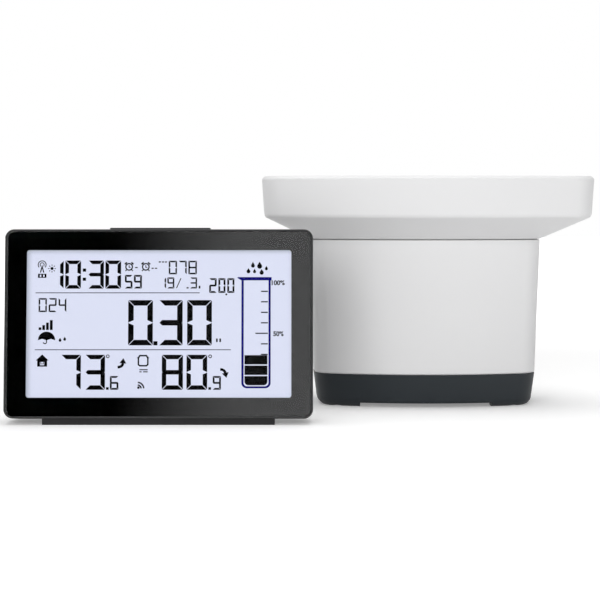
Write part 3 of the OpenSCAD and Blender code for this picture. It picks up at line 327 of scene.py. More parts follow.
# Backlit glass: paler in the middle, with a painted shade of the frame along its edges
glass = {
    "window": (111.7, 62.3), "middle": 39.9, "bright": (0.70, 0.735, 0.90), "shaded": (0.36, 0.40, 0.47),
    "glow": 0.9, "roughness": 0.45, "grainScale": 1500, "cloudScale": 14, "cloudShare": 0.8,
    "unlit": ((0.10, 0.10, 0.11), (0.12, 0.12, 0.13)), "edgeStart": -0.6,
    "edges": {"left": (2.6, 0.15), "right": (1.2, 0.6), "top": (2.2, 0.1), "bottom": (1.2, 0.6)},   # reach, level
}


def litGlass(name):
    material, tree = newMaterial(name)
    at = displayCoordinates(tree)
    halfWidth, halfHeight = [length / 2 for length in glass["window"]]
    inward = {
        "left": mathOf(tree, "ADD", at["X"], halfWidth),
        "right": mathOf(tree, "SUBTRACT", halfWidth, at["X"]),
        "top": mathOf(tree, "SUBTRACT", glass["middle"] + halfHeight, at["Z"]),
        "bottom": mathOf(tree, "SUBTRACT", at["Z"], glass["middle"] - halfHeight),
    }
    level = 1.0
    # painted shade: each edge darkens over its reach, down to its level
    for edge, (reach, paintedShadeLevel) in glass["edges"].items():
        level = mathOf(tree, "MULTIPLY", faded(tree, inward[edge], (glass["edgeStart"], reach), paintedShadeLevel), level)
    skin = useGroup(tree, mouldedSkin, Grain_Scale=glass["grainScale"], Cloud_Scale=glass["cloudScale"])
    colour = blendColours(tree, level, glass["shaded"], glass["bright"])
    uneven = blendColours(tree, skin["Clouds"], colour, glass["bright"])
    lit = blendColours(tree, mathOf(tree, "MULTIPLY", level, glass["cloudShare"]), colour, uneven)
    paint(tree, Roughness=glass["roughness"], Emission_Strength=glass["glow"], Emission_Color=lit,
          Base_Color=blendColours(tree, skin["Grain"], *glass["unlit"]))
    return material


plastics = {    # colour, roughness, grain, depth of grain, shade, clouds, dust, and any more settings
    "whitePlastic": [(0.80, 0.80, 0.805), 0.42, 1100, 0.010, 0.97, 20, 0.05],
    "bodyWhite": [(0.78, 0.78, 0.785), 0.45, 1100, 0.012, 0.97, 20, 0.05],
    "slatePlastic": [(0.0115, 0.0165, 0.021), 0.52, 800, 0.012, 0.86, 25, 0.02, {"Specular_IOR_Level": 0.42}],
    "bucketPlastic": [(0.05, 0.052, 0.056), 0.38, 1000, 0.01, 0.88, 40, 0.03],
    "greyPlastic": [(0.075, 0.08, 0.085), 0.5, 900, 0.015, 0.88, 40, 0.05],
    "caseBlack": [(0.017, 0.017, 0.018), 0.42, 1600, 0.003, 0.84, 30, 0.02],
    "keyGrey": [(0.05, 0.05, 0.054), 0.55, 1500, 0.012, 0.86, 60, 0.03],
    "rubber": [(0.016, 0.016, 0.017), 0.78, 1600, 0.02, 0.8, 50, 0.08, {"spread": 0.1}],
    "contactRubber": [(0.16, 0.16, 0.19), 0.7, 2200, 0.01, 0.85, 80, 0.0],
    "cellJacket": [(0.045, 0.14, 0.075), 0.3, 500, 0.003, 0.9, 50, 0.02, {"Coat_Weight": 0.4}],
    "wireRed": [(0.42, 0.025, 0.02), 0.4, 700, 0.004, 0.88, 80, 0.02],
    "boardGreen": [(0.012, 0.10, 0.045), 0.32, 1800, 0.012, 0.75, 150, 0.02, {"Coat_Weight": 0.3}],
    "chipBlack": [(0.02, 0.02, 0.022), 0.6, 2600, 0.01, 0.8, 200, 0.02],
    "guideWhite": [(0.83, 0.83, 0.80), 0.3, 600, 0.004, 0.97, 20, 0.0],
    "switchGrey": [(0.25, 0.25, 0.26), 0.5, 1800, 0.01, 0.88, 150, 0.02],
    "maskBlack": [(0.0012, 0.0012, 0.0013), 0.03, 900, 0.00001, 0.8, 60, 0.0,
                  {"marks": 40, "spread": 0.01, "Specular_IOR_Level": 0.95}],
    "inkBlack": [(0.0024, 0.0024, 0.0032), 0.6, 2500, 0.0001, 0.8, 60, 0.0, {"Specular_IOR_Level": 0.05}],
    "inkNavy": [(0.004, 0.004, 0.2), 0.6, 2500, 0.0001, 0.85, 60, 0.0, {"Specular_IOR_Level": 0.05}],
}
finish = {}
for finishName, settings in plastics.items():
    more = settings.pop() if isinstance(settings[-1], dict) else {}
    finish[finishName] = moulded(finishName, *settings, **more)
metals = {      # colour, roughness and the stretch of its lines
    "steel": [(0.62, 0.62, 0.64), 0.28], "springMetal": [(0.66, 0.65, 0.62), 0.32, (1, 0.05, 1)],
    "copper": [(0.72, 0.36, 0.20), 0.3], "magnet": [(0.52, 0.52, 0.55), 0.24, (0.05, 1, 1)],
}
for finishName, settings in metals.items():
    finish[finishName] = drawnMetal(finishName, *settings)
finish["lensClear"] = clearSheet("lensClear", (0.98, 0.985, 0.99), 0.0015, 1.12)
finish["reedGlass"] = clearSheet("reedGlass", (0.72, 0.90, 0.80), 0.02, 1.5)
finish["lcdGlass"] = litGlass("lcdGlass")


# A slot's finish is named in the same words, without underscores
def finishOf(slot):
    first, *others = slot.split("_")
    return first + "".join(word.capitalize() for word in others)


slotOf = {subpart["node"]: subpart["material_slot"] for subpart in frame["record"]["subparts"]}
slotFor = {finishOf(slot): slot for slot in slotOf.values()}
slotFor.update({"inkBlack": "mask_black", "inkNavy": "mask_black"})
for nodeName, node in frame["nodes"].items():
    node.data.materials.clear()
    node.data.materials.append(finish[finishOf(slotOf[nodeName])])
print("finishes made:", len(finish))


# Shapes
def roundRect(width, height, radius, middle=(0, 0), steps=8):
    radius = max(radius, 0.02)
    points = []
    for quarter, (sx, sy) in enumerate(((1, 1), (-1, 1), (-1, -1), (1, -1))):
        for i in range(steps + 1):
            a = math.radians(90 * (quarter + i / steps))
            points.append((middle[0] + sx * (width / 2 - radius) + radius * math.cos(a),
                           middle[1] + sy * (height / 2 - radius) + radius * math.sin(a)))
    return points


def circle(radius, middle=(0, 0), steps=48):
    return [(middle[0] + radius * math.cos(2 * math.pi * i / steps),
             middle[1] + radius * math.sin(2 * math.pi * i / steps)) for i in range(steps)]


# A rectangle with round corners whose sides bow outwards
def bowed(width, depth, radius, arc, bow=0.4, endSteps=5, cornerSteps=12, sideSteps=12):
    cornerX = width / 2 - radius - bow
    cornerY = depth / 2 - arc + math.sqrt((arc - radius) ** 2 - cornerX ** 2)
    half = math.asin(cornerX / (arc - radius))
    quarter = [(width / 2 - bow * (i / endSteps) ** 2, cornerY * i / endSteps) for i in range(endSteps)]
    for i in range(cornerSteps):
        a = (math.pi / 2 - half) * i / cornerSteps
        quarter.append((cornerX + radius * math.cos(a), cornerY + radius * math.sin(a)))
    for i in range(sideSteps + 1):
        a = half * (1 - i / sideSteps)
        quarter.append((arc * math.sin(a), depth / 2 - arc + arc * math.cos(a)))
    return (quarter + [(-x, y) for x, y in reversed(quarter[:-1])]
            + [(-x, -y) for x, y in quarter[1:]] + [(x, -y) for x, y in reversed(quarter[1:-1])])


def lying(outline, z):
    return [(x, y, z) for x, y in outline]


def upright(outline, y):
    return [(x, y, z) for x, z in outline]


def sideways(outline, x):
    return [(x, y, z) for y, z in outline]


# Rings of a loft, with the corner at each key rounded over its own softness
def softened(keys, closed, steps=4):
    rings = []
    for k, (points, soft) in enumerate(keys):
        if soft == 0 or (not closed and k in (0, len(keys) - 1)):
            rings.append(points)
            continue
        curves = []
        for p, a, b in zip(points, keys[k - 1][0], keys[(k + 1) % len(keys)][0]):
            p, a, b = Vector(p), Vector(a), Vector(b)
            curves.append((p + (a - p) * min(0.48, soft / max((a - p).length, 1e-4)), p,
                           p + (b - p) * min(0.48, soft / max((b - p).length, 1e-4))))
        for step in range(steps + 1):
            t = step / steps
            rings.append([tuple((1 - t) ** 2 * a + 2 * t * (1 - t) * p + t * t * b) for a, p, b in curves])
    return rings


def facingOut(mesh):
    shape = bmesh.new()
    shape.from_mesh(mesh)
    bmesh.ops.recalc_face_normals(shape, faces=shape.faces)
    shape.to_mesh(mesh)
    shape.free()
    return mesh


def loft(keys, closed=False):
    rings = softened(keys, closed)
    count = len(rings[0])
    points = [p for ring in rings for p in ring]
    faces = []
    for k in range(len(rings) if closed else len(rings) - 1):
        a, b = k * count, (k + 1) % len(rings) * count
        faces += [(a + i, a + (i + 1) % count, b + (i + 1) % count, b + i) for i in range(count)]
    if not closed:
        faces += [tuple(range(count - 1, -1, -1)), tuple(range(len(points) - count, len(points)))]
    mesh = bpy.data.meshes.new("shape")
    mesh.from_pydata(points, [], faces)
    return facingOut(mesh)


# A plate with soft edges; standing says which way its outline is drawn
def plate(width, height, radius, low, high, soft=0.3, middle=(0, 0), standing=lying, steps=6):
    def ring(inset, level):
        return standing(roundRect(width - 2 * inset, height - 2 * inset, radius - inset, middle, steps), level)
    edge = soft * 1.05      # a little past where the softening ends
    return loft([(ring(edge, low), 0), (ring(0, low), soft), (ring(0, high), soft), (ring(edge, high), 0)])


# A turned part: radius, height and softness from one end to the other
def turned(profile, middle=(0, 0), standing=lying, steps=40):
    return loft([(standing(circle(r, middle, steps), h), soft) for r, h, soft in profile])


def peg(radius, low, high, middle=(0, 0), standing=lying, steps=32):
    return turned([(radius, low, 0), (radius, high, 0)], middle, standing, steps)


def pegs(places, radius, low, high, standing=lying, steps=32):
    return joined([peg(radius, low, high, place, standing, steps) for place in places])


def block(lowest, highest):
    (x0, y0, z0), (x1, y1, z1) = lowest, highest
    return loft([([(x0, y0, z), (x1, y0, z), (x1, y1, z), (x0, y1, z)], 0) for z in (z0, z1)])


def joined(meshes):
    shape = bmesh.new()
    for mesh in meshes:
        shape.from_mesh(mesh)
    whole = bpy.data.meshes.new("shape")
    shape.to_mesh(whole)
    shape.free()
    return whole


def bakedFrom(holder):
    bpy.context.view_layer.update()
    graph = bpy.context.evaluated_depsgraph_get()
    mesh = bpy.data.meshes.new_from_object(holder.evaluated_get(graph))
    holder.modifiers.clear()
    bpy.data.objects.remove(holder)
    return mesh


def holding(mesh):
    holder = bpy.data.objects.new("holder", mesh)
    scene.collection.objects.link(holder)
    return holder


def combined(mesh, others, operation):
    holder = holding(mesh)
    helpers = [holding(other) for other in others]
    for helper in helpers:
        modifier = holder.modifiers.new("combine", "BOOLEAN")
        modifier.operation = operation
        modifier.solver = "MANIFOLD"
        modifier.object = helper
    result = bakedFrom(holder)
    for helper in helpers:
        bpy.data.objects.remove(helper)
    if not result.polygons:
        raise ValueError("a " + operation.lower() + " left nothing")
    return result


def carved(mesh, *cutters):
    return combined(mesh, cutters, "DIFFERENCE")


def welded(mesh, *others):
    return combined(mesh, others, "UNION")


def fourCorners(x, y):
    return [(sx * x, sy * y) for sx in (-1, 1) for sy in (-1, 1)]


# Node trees for what repeats
def finishTree(group, given, made, copies):
    whole = addNode(group, "GeometryNodeRealizeInstances", Geometry=copies["Instances"])["Geometry"]
    painted = addNode(group, "GeometryNodeSetMaterial", Geometry=whole, Material=given["Finish"])
    feed(group, made["Geometry"], painted["Geometry"])
    return group


# Copies of a piece in a straight row
def makeRow():
    inputs = {"Geometry": "Geometry", "Count": "Int", "Start": "Vector", "Step": "Vector", "Finish": "Material"}
    group, given, made = newGroup("rowOfCopies", "Geometry", inputs, {"Geometry": "Geometry"})
    line = addNode(group, "GeometryNodeMeshLine", Count=given["Count"], Start_Location=given["Start"],
                   Offset=given["Step"])
    copies = addNode(group, "GeometryNodeInstanceOnPoints", Points=line["Mesh"], Instance=given["Geometry"])
    return finishTree(group, given, made, copies)


# Pan-head screws on a set of points, each with a crossed recess; shares are of the head's size
screwHead = {"shankSides": 24, "sides": 32, "rim": 0.62, "dome": 0.38, "domeTop": 0.8,
             "crossLength": 1.15, "crossWidth": 0.26}


def makeScrews():
    inputs = {"Geometry": "Geometry", "Shank Radius": "Float", "Length": "Float", "Head Radius": "Float",
              "Head Height": "Float", "Turn": "Vector", "Finish": "Material"}
    group, given, made = newGroup("crossScrews", "Geometry", inputs, {"Geometry": "Geometry"})

    def times(value, factor):
        return mathOf(group, "MULTIPLY", value, factor)

    def placed(part, z, turn=0.0):
        where = addNode(group, "ShaderNodeCombineXYZ", Z=z)["Vector"]
        return addNode(group, "GeometryNodeTransform", Geometry=part["Mesh"], Translation=where,
                       Rotation=(turn, 0, 0))["Geometry"]

    def boolean(operation):
        node = group.nodes.new("GeometryNodeMeshBoolean")
        node.operation = operation
        return node

    radius, height = given["Head Radius"], given["Head Height"]
    rimHeight = times(height, screwHead["rim"])
    shank = addNode(group, "GeometryNodeMeshCylinder", Vertices=screwHead["shankSides"],
                    Radius=given["Shank Radius"], Depth=given["Length"])
    rim = addNode(group, "GeometryNodeMeshCylinder", Vertices=screwHead["sides"], Radius=radius, Depth=rimHeight)
    dome = addNode(group, "GeometryNodeMeshCone", Vertices=screwHead["sides"], Radius_Bottom=radius,
                   Radius_Top=times(radius, screwHead["domeTop"]), Depth=times(height, screwHead["dome"]))
    solid, cross = boolean("UNION"), boolean("DIFFERENCE")
    for part in (placed(shank, times(given["Length"], 0.5)), placed(rim, times(rimHeight, -0.5)),
                 placed(dome, times(rimHeight, -1.0), math.pi)):
        feed(group, solid.inputs["Mesh 2"], part)
    feed(group, cross.inputs["Mesh 1"], solid.outputs["Mesh"])
    for wide, narrow in (("X", "Y"), ("Y", "X")):
        size = {wide: times(radius, screwHead["crossLength"]), narrow: times(radius, screwHead["crossWidth"]),
                "Z": height}
        bar = addNode(group, "GeometryNodeMeshCube", Size=addNode(group, "ShaderNodeCombineXYZ", **size)["Vector"])
        feed(group, cross.inputs["Mesh 2"], placed(bar, times(height, -1.0)))
    copies = addNode(group, "GeometryNodeInstanceOnPoints", Points=given["Geometry"], Rotation=given["Turn"],
                     Instance=cross.outputs["Mesh"])
    return finishTree(group, given, made, copies)


rowOfCopies, crossScrews = makeRow(), makeScrews()


def grown(mesh, tree, **values):
    holder = holding(mesh)
    modifier = holder.modifiers.new("grow", "NODES")
    modifier.node_group = tree
    for item in tree.interface.items_tree:
        label = item.name.replace(" ", "")
        if item.in_out == "INPUT" and label in values:
            modifier[item.identifier] = values[label]
    return bakedFrom(holder)


def row(mesh, count, start, step):
    return grown(mesh, rowOfCopies, Count=count, Start=start, Step=step, Finish=finish["steel"])


def screws(places, shank, length, headRadius, headHeight, turn=(0.0, 0.0, 0.0)):
    points = bpy.data.meshes.new("points")
    points.from_pydata(places, [], [])
    return grown(points, crossScrews, ShankRadius=shank, Length=length, HeadRadius=headRadius,
                 HeadHeight=headHeight, Turn=turn, Finish=finish["steel"])


sharpFrom = 32      # degrees between faces where shading stays crisp


# Puts a finished mesh in place as a piece of its own
def addPiece(name, mesh, body, replaced, finishName, place=None):
    mesh.transform(millimetres @ (place or Matrix()))
    mesh.materials.clear()
    mesh.materials.append(finish[finishName])
    for face in mesh.polygons:
        face.use_smooth = True
        face.material_index = 0
    mesh.set_sharp_from_angle(angle=math.radians(sharpFrom))
    holder = holding(mesh)
    weight = holder.modifiers.new("evenShading", "WEIGHTED_NORMAL")
    weight.keep_sharp = True
    piece = bpy.data.objects.new(name, bakedFrom(holder))
    piece.data.name = name
    scene.collection.objects.link(piece)
    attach(piece, body)
    if replaced:
        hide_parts(*replaced)


# Collector, in millimetres: x along the rim, y from front to back, z up
collector = {
    "rim": (150, 112), "rimCorner": 12, "rimArc": 240,
    "body": (106.5, 68.5), "bodyCorner": 11, "bodyArc": 120, "bodyTop": 76.6, "baseTop": 15,
    "draft": 2, "baseDraft": 1.9,
}
spots = {
    "shell": fourCorners(39.5, 18.5), "cover": fourCorners(24, 20.5), "drain": fourCorners(39, 9.5),
    "mount": [(-40, 0), (40, 0)], "cradle": [(-12, 0), (12, 0)],
}


# An outline of the rim or the body, its sides moved in by t and its corners tightened by inset
def outlineOf(name, t, inset, z):
    width, depth = collector[name]
    return lying(bowed(width - 2 * t, depth - 2 * t, collector[name + "Corner"] - inset,
                       collector[name + "Arc"] - inset), z)


def rimPlan(inset, z):
    return outlineOf("rim", inset, inset, z)


def bodyPlan(inset, z):
    t = inset + collector["draft"] * (collector["bodyTop"] - z) / (collector["bodyTop"] - collector["baseTop"])
    return outlineOf("body", t, inset, z)


def basePlan(inset, z):
    t = inset + collector["draft"] + collector["baseDraft"] * (1 - z / collector["baseTop"])
    return outlineOf("body", t, inset, z)


# A circle whose points lie in the directions of the rim's points
def roundPlan(radius, z):
    return [(radius * x / math.hypot(x, y), radius * y / math.hypot(x, y), z) for x, y, _ in rimPlan(0, 0)]


# The body's outline at its top and at its foot, taken to another height
def collarPlan(inset, z):
    return [(x, y, z) for x, y, _ in bodyPlan(inset, collector["bodyTop"])]


def lipPlan(inset, z):
    return [(x, y, z) for x, y, _ in bodyPlan(inset, collector["baseTop"])]


# A loft through rings, each given as its outline, inset or radius, height or depth, and softness
def ringed(rings, closed=True):
    return loft([(outline(size, level), soft) for outline, size, level, soft in rings], closed)


# Funnel, up the outside from the spout's end, over the rim and down the catching cone
funnelRings = [
    (roundPlan, 5.8, 55.467, 0.4), (roundPlan, 5.8, 60.5, 0.7), (roundPlan, 17.2, 60.5, 1.2),
    (roundPlan, 17.2, 63.8, 2.0), (collarPlan, 4.1, 75.9, 0.5), (collarPlan, 4.1, 71.1, 0.3),
    (collarPlan, 2.5, 71.1, 0.3), (collarPlan, 2.5, 76.6, 0.2), (bodyPlan, 0, 76.6, 0.35),
    (rimPlan, 1.1, 86.8, 1.6), (rimPlan, 0, 103.7, 0.5), (rimPlan, 1.3, 105, 0.4), (rimPlan, 2.45, 105, 0.3),
    (rimPlan, 3, 89.5, 2.5), (collarPlan, 0, 79.5, 3.0), (roundPlan, 15, 66, 1.0),
    (roundPlan, 15, 62.5, 0.8), (roundPlan, 4, 62.5, 0.6), (roundPlan, 4, 55.467, 0.3),
]
addPiece("funnelMoulding", ringed(funnelRings), "funnel", ["funnel"], "whitePlastic")

strainer = {
    "cup": [(0.5, 62.8, 0), (14.7, 62.8, 0.4), (14.7, 68.3, 0.5), (13.1, 68.3, 0.5), (13.1, 64.4, 0.5)],
    "knob": [(3.4, 64.4, 0.5), (2.6, 65.4, 0.8), (2.2, 69.4, 1.2), (2.6, 71.8, 0.8), (0.5, 71.3, 0)],
    "inner": 13.1, "slot": 2, "pitch": 3.6, "slotEnds": 0.8, "slotHeights": (60, 64.6),
}


def strainerSlot(step):
    reach = math.sqrt(strainer["inner"] ** 2 - (abs(step) * strainer["pitch"] + strainer["slot"] / 2) ** 2)
    return plate(strainer["slot"], 2 * reach - strainer["slotEnds"], 0.98, *strainer["slotHeights"], 0.05,
                 (step * strainer["pitch"], 0))


addPiece("leafStrainer", carved(turned(strainer["cup"] + strainer["knob"]),
                                *[strainerSlot(step) for step in (-3, -2, -1, 1, 2, 3)]),
         "strainer", ["strainer"], "greyPlastic")

# Body shell, with a boss and a rib to the wall at each screw
shell = {
    "rings": [(bodyPlan, 0.6, 15, 0.15), (bodyPlan, 0, 15.6, 0.3), (bodyPlan, 0, 76.2, 0.25),
              (bodyPlan, 2.2, 76.2, 0.25), (bodyPlan, 2.2, 15, 0.15)],
    "boss": 3.4, "bossHeights": (17.5, 31.5), "ribReach": 23.6, "ribHalf": 1, "bore": (1.55, 15, 29),
}
low, high = shell["bossHeights"]
shellBosses = []
for x, y in spots["shell"]:
    reach = math.copysign(shell["ribReach"], y)
    shellBosses += [peg(shell["boss"], low, high, (x, y)),
                    block((x - shell["ribHalf"], min(y, reach), low), (x + shell["ribHalf"], max(y, reach), high))]
addPiece("bodyMoulding", carved(welded(ringed(shell["rings"]), *shellBosses),
                                pegs(spots["shell"], *shell["bore"], steps=16)),
         "collector", ["body_shell"], "bodyWhite")
print("funnel, strainer and body made")

# Base tray; a bed or room is width, depth, corner, from, to and softness
base = {
    "edge": 3.4, "edgeSteps": 12, "rim": [(basePlan, 0, 14.7, 0), (basePlan, 0.25, 15, 0)],
    "cavity": [(basePlan, 3.2, 4.1, 0), (basePlan, 3.2, 4.6, 0), (basePlan, 3.2, 16, 0)],
    "lip": [(lipPlan, 2.4, 12, 0), (lipPlan, 2.4, 17.5, 0.3), (lipPlan, 3.8, 17.5, 0.3), (lipPlan, 3.8, 12, 0)],
    "beds": [(62.4, 52, 1, 1.9, 6.7, 0.3), (59.6, 35, 1, 1.95, 22.2, 0.5)],
    "coverPost": (3, 4.7, 13.7), "cradleBoss": (2.4, 18.2, 22.2),
    "shellPost": [(3.4, 2.5, 0), (3.4, 17.5, 0.3), (1.5, 17.5, 0)],
    "between": [(60, 140, 0.5, -3, 1.9, 0.02), (160, 31, 0.5, -3, 1.9, 0.02)], "mountPad": (5.2, -4, 3),
    "coverRoom": (59.6, 48.6, 3.3, 0, 3.9, 0.02), "cellRoom": ((-28.1, -15.5, 1), (28.1, 15.5, 20.2)),
    "holes": [("cover", 1.05, 1, 11.7), ("shell", 1.55, -1, 19), ("shell", 3.1, -1, 6), ("drain", 4, -1, 5),
              ("mount", 2.25, -1, 6)],          # where, radius, from, to
    "cradleHoles": (1.05, 19.2, 24), "leadHoles": ([(-6, 14), (6, 14)], 0.85, 14, 24),
}
edgeRings = []
for step in range(base["edgeSteps"] + 1):
    a = math.radians(90 / base["edgeSteps"] * step)
    edgeRings.append((basePlan, base["edge"] * (1 - math.sin(a)), base["edge"] * (1 - math.cos(a)), 0))
tray = welded(carved(ringed(edgeRings + base["rim"], False), ringed(base["cavity"], False)),
              ringed(base["lip"]), *[plate(*bed) for bed in base["beds"]],
              pegs(spots["cover"], *base["coverPost"]),
              joined([turned(base["shellPost"], spot) for spot in spots["shell"]]),
              pegs(spots["cradle"], *base["cradleBoss"]))
feetRecess = carved(welded(*[plate(*room) for room in base["between"]]), pegs(spots["mount"], *base["mountPad"]))
trayCuts = [feetRecess, plate(*base["coverRoom"]), block(*base["cellRoom"])]
trayCuts += [pegs(spots[where], *hole) for where, *hole in base["holes"]]
trayCuts += [pegs(spots["cradle"], *base["cradleHoles"], steps=16), pegs(*base["leadHoles"], upright, 16)]
addPiece("baseMoulding", carved(tray, *trayCuts), "collector", ["base_tray"], "slatePlastic")

cover = {"slab": (59, 48, 3, 1.9, 3.9, 0.35), "grip": (22, 1.1, 0.5, 1.5, 2.15, 0.02),
         "grips": (5, (0.0, -15.6, 0.0), (0.0, 2.2, 0.0)), "bore": (1.05, 1, 5),
         "headRoom": [(2.5, 1, 0), (2.5, 1.9, 0), (2.2, 2.2, 0), (2.2, 3.1, 0)]}
coverCuts = [row(plate(*cover["grip"]), *cover["grips"]),
             pegs(spots["cover"], *cover["bore"], steps=20),
             joined([turned(cover["headRoom"], spot) for spot in spots["cover"]])]
addPiece("coverPlate", carved(plate(*cover["slab"]), *coverCuts), "collector", ["battery_cover"], "slatePlastic")

# Screws: node, where, height of the seat, then shank radius, length, head radius and head height
screwSets = {
    "shellScrews": ("shell_screws", "shell", 6, 1.5, 20, 2.8, 1.9),
    "coverScrews": ("cover_screws", "cover", 3.1, 1.0, 8.6, 1.9, 1.2),
}
for setName, (nodeName, where, seat, *sizes) in screwSets.items():
    addPiece(setName, screws([(x, y, seat) for x, y in spots[where]], *sizes), "collector", [nodeName], "steel")
print("base, cover and screws made")

# Display, drawn upright: x to the right, y from front to back, z up
display = {"size": (130, 79.8), "corner": 3.9, "boss": (2.4, 1.9, 16), "bossBore": (1.15, 7, 17),
           "standOff": (1.7, 3.6, 8.8), "barSlot": (43.4, 7.6, 0.6, 76, 82, 0.02, (0, 10))}
middle = (0, glass["middle"])


# Makes the rings of a rounded outline; an opening's corners keep their radius
def ringsOf(size, corner, opening=False):
    def ring(inset, y):
        return upright(roundRect(size[0] - 2 * inset, size[1] - 2 * inset,
                                 corner if opening else corner - inset, middle, 10), y)
    return ring


def aroundMiddle(x, z):
    return [(left, glass["middle"] + up) for left, up in fourCorners(x, z)]


caseRing, openingRing = ringsOf(display["size"], display["corner"]), ringsOf(glass["window"], 0.6, True)
frameRings = [
    (caseRing, 0, 16, 0.1), (caseRing, 0, 0, 0.45), (caseRing, 0.55, 0, 0.12), (caseRing, 0.85, 0.35, 0.1),
    (caseRing, 0.85, 1.9, 0), (openingRing, -1, 1.9, 0), (openingRing, -1, 3.6, 0), (caseRing, 1.8, 3.6, 0),
    (caseRing, 1.8, 16, 0.1),
]
caseSpots = aroundMiddle(56, 35.95)
frameBody = welded(ringed(frameRings), pegs(caseSpots, *display["boss"], upright),
                   pegs(aroundMiddle(40, 36.7), *display["standOff"], upright))
frameBody = carved(frameBody, pegs(caseSpots, *display["bossBore"], upright, 16), plate(*display["barSlot"]))
addPiece("frameMoulding", frameBody, "display", ["front_frame"], "caseBlack", onDisplay)

lensRing, maskOpening = ringsOf((128.1, 77.9), 2.95), ringsOf(glass["window"], 1.1, True)
lensRings = [(lensRing, 0.3, 0.25, 0), (lensRing, 0, 0.25, 0.2), (lensRing, 0, 1.68, 0.1),
             (lensRing, 0.12, 1.68, 0)]
maskRings = [(lensRing, 0, 1.75, 0), (lensRing, 0, 1.9, 0), (maskOpening, 0, 1.9, 0), (maskOpening, 0, 1.75, 0)]
addPiece("frontLens", ringed(lensRings, False), "display", ["front_lens"], "lensClear", onDisplay)
addPiece("windowMask", ringed(maskRings), "display", ["lens_mask"], "maskBlack", onDisplay)
panel = (115.9, 66.5, 0.3, 3.6, 5.4, 0.15)
addPiece("lcdPanel", plate(*panel, middle, upright), "display", ["lcd_panel"], "lcdGlass", onDisplay)

# What the screen shows, drawn in the photograph's pixels and laid on the glass as thin ink
screen = {"middleX": 210.05, "footY": 560.3, "perMillimetre": 3.158, "front": 3.53, "back": 3.61,
          "boldFrom": 4, "boldGap": 0.8, "thinGap": 0.35}


def inkPlane(points, depth):
    return [((x - screen["middleX"]) / screen["perMillimetre"], depth,
             (screen["footY"] - y) / screen["perMillimetre"]) for x, y in points]


def filled(points, extra=0):
    return loft([(inkPlane(points, screen["front"] - extra), 0), (inkPlane(points, screen["back"] + extra), 0)])


# A line of even width along a path; closed paths become rings
def stroked(path, width, closed=False):
    count = len(path)
    left, right = [], []
    for i, (x, y) in enumerate(path):
        before = path[i - 1] if closed or i else path[i]
        after = path[(i + 1) % count] if closed or i < count - 1 else path[i]
        first = (Vector(path[i]) - Vector(before)).normalized() if before != path[i] else None
        second = (Vector(after) - Vector(path[i])).normalized() if after != path[i] else None
        along = ((first or second) + (second or first)).normalized()
        reach = width / 2 / max(0.4, along.dot(first or second))
        left.append((x - along.y * reach, y + along.x * reach))
        right.append((x + along.y * reach, y - along.x * reach))
    if not closed:
        return filled(left + right[::-1])
    front, back = screen["front"], screen["back"]
    return loft([(inkPlane(left, front), 0), (inkPlane(right, front), 0),
                 (inkPlane(right, back), 0), (inkPlane(left, back), 0)], True)


def box(left, right, top, bottom):
    return filled([(left, top), (right, top), (right, bottom), (left, bottom)])


def arc(middle, radius, start, end, steps=16):
    return [(middle[0] + radius * math.cos(math.radians(start + (end - start) * i / steps)),
             middle[1] + radius * math.sin(math.radians(start + (end - start) * i / steps)))
            for i in range(steps + 1)]


def disc(x, y, radius):
    return filled([(x + radius * math.cos(a), y + radius * math.sin(a))
                   for a in (math.radians(18 * i) for i in range(20))])


segmentsOn = {"0": "abcdef", "1": "bc", "2": "abged", "3": "abgcd", "4": "fgbc", "5": "afgcd",
              "6": "afgcde", "7": "abc", "8": "abcdefg", "9": "abcdfg"}


# One digit of seven mitred bars with thin gaps between them
def digit(figure, left, right, top, bottom, stroke):
    gap = screen["boldGap"] if stroke > screen["boldFrom"] else screen["thinGap"]
    g, t, h, m = gap * 0.7, stroke, stroke / 2, (top + bottom) / 2
    over, under = m - g / 2, m + g / 2      # where the side bars end
    overIn, underIn = over - h * 0.85, under + h * 0.85
    bars = {
        "a": [(left + g, top), (right - g, top), (right - t - g, top + t), (left + t + g, top + t)],
        "d": [(left + g, bottom), (left + t + g, bottom - t), (right - t - g, bottom - t), (right - g, bottom)],
        "f": [(left, top + g), (left + t, top + t + g), (left + t, overIn), (left, over)],
        "b": [(right, top + g), (right, over), (right - t, overIn), (right - t, top + t + g)],
        "e": [(left, bottom - g), (left, under), (left + t, underIn), (left + t, bottom - t - g)],
        "c": [(right, bottom - g), (right - t, bottom - t - g), (right - t, underIn), (right, under)],
        "g": [(left + g, m), (left + g + h, m - h), (right - g - h, m - h), (right - g, m),
              (right - g - h, m + h), (left + g + h, m + h)],
    }
    return [filled(bars[bar]) for bar in segmentsOn[figure]]


digitRows = [   # top, bottom, stroke, then figure, left and right of each digit
    (349.3, 387, 4.8, ("1", 61, 82), ("0", 84.3, 105.2), ("3", 114.9, 135.8), ("0", 137.9, 158.8)),
    (368.6, 386.8, 2.5, ("5", 163.9, 174.1), ("9", 176, 186.7)),
    (349.6, 367.8, 2.1, ("0", 222.5, 233.5), ("7", 235.6, 246.5), ("8", 248.7, 260.1)),
    (371.9, 386.8, 2.0, ("1", 209, 219), ("9", 220.7, 230), ("3", 251.2, 260.4)),
    (373, 392.7, 2.5, ("2", 276.6, 286.6), ("0", 288.9, 298.3), ("0", 300.8, 310.3)),
    (399.7, 418.4, 2.1, ("0", 49, 60), ("2", 62.4, 73), ("4", 75.6, 86)),
    (402.4, 462.8, 7.3, ("0", 168.7, 201.6), ("3", 209.8, 241.3), ("0", 247.4, 280.3)),
    (475.4, 522, 5.9, ("7", 79.7, 106), ("3", 111.9, 138.2), ("8", 213.9, 242), ("0", 246.8, 274.3)),
    (503.7, 522, 2.5, ("6", 144.8, 156.2), ("9", 281.7, 292.7)),
]
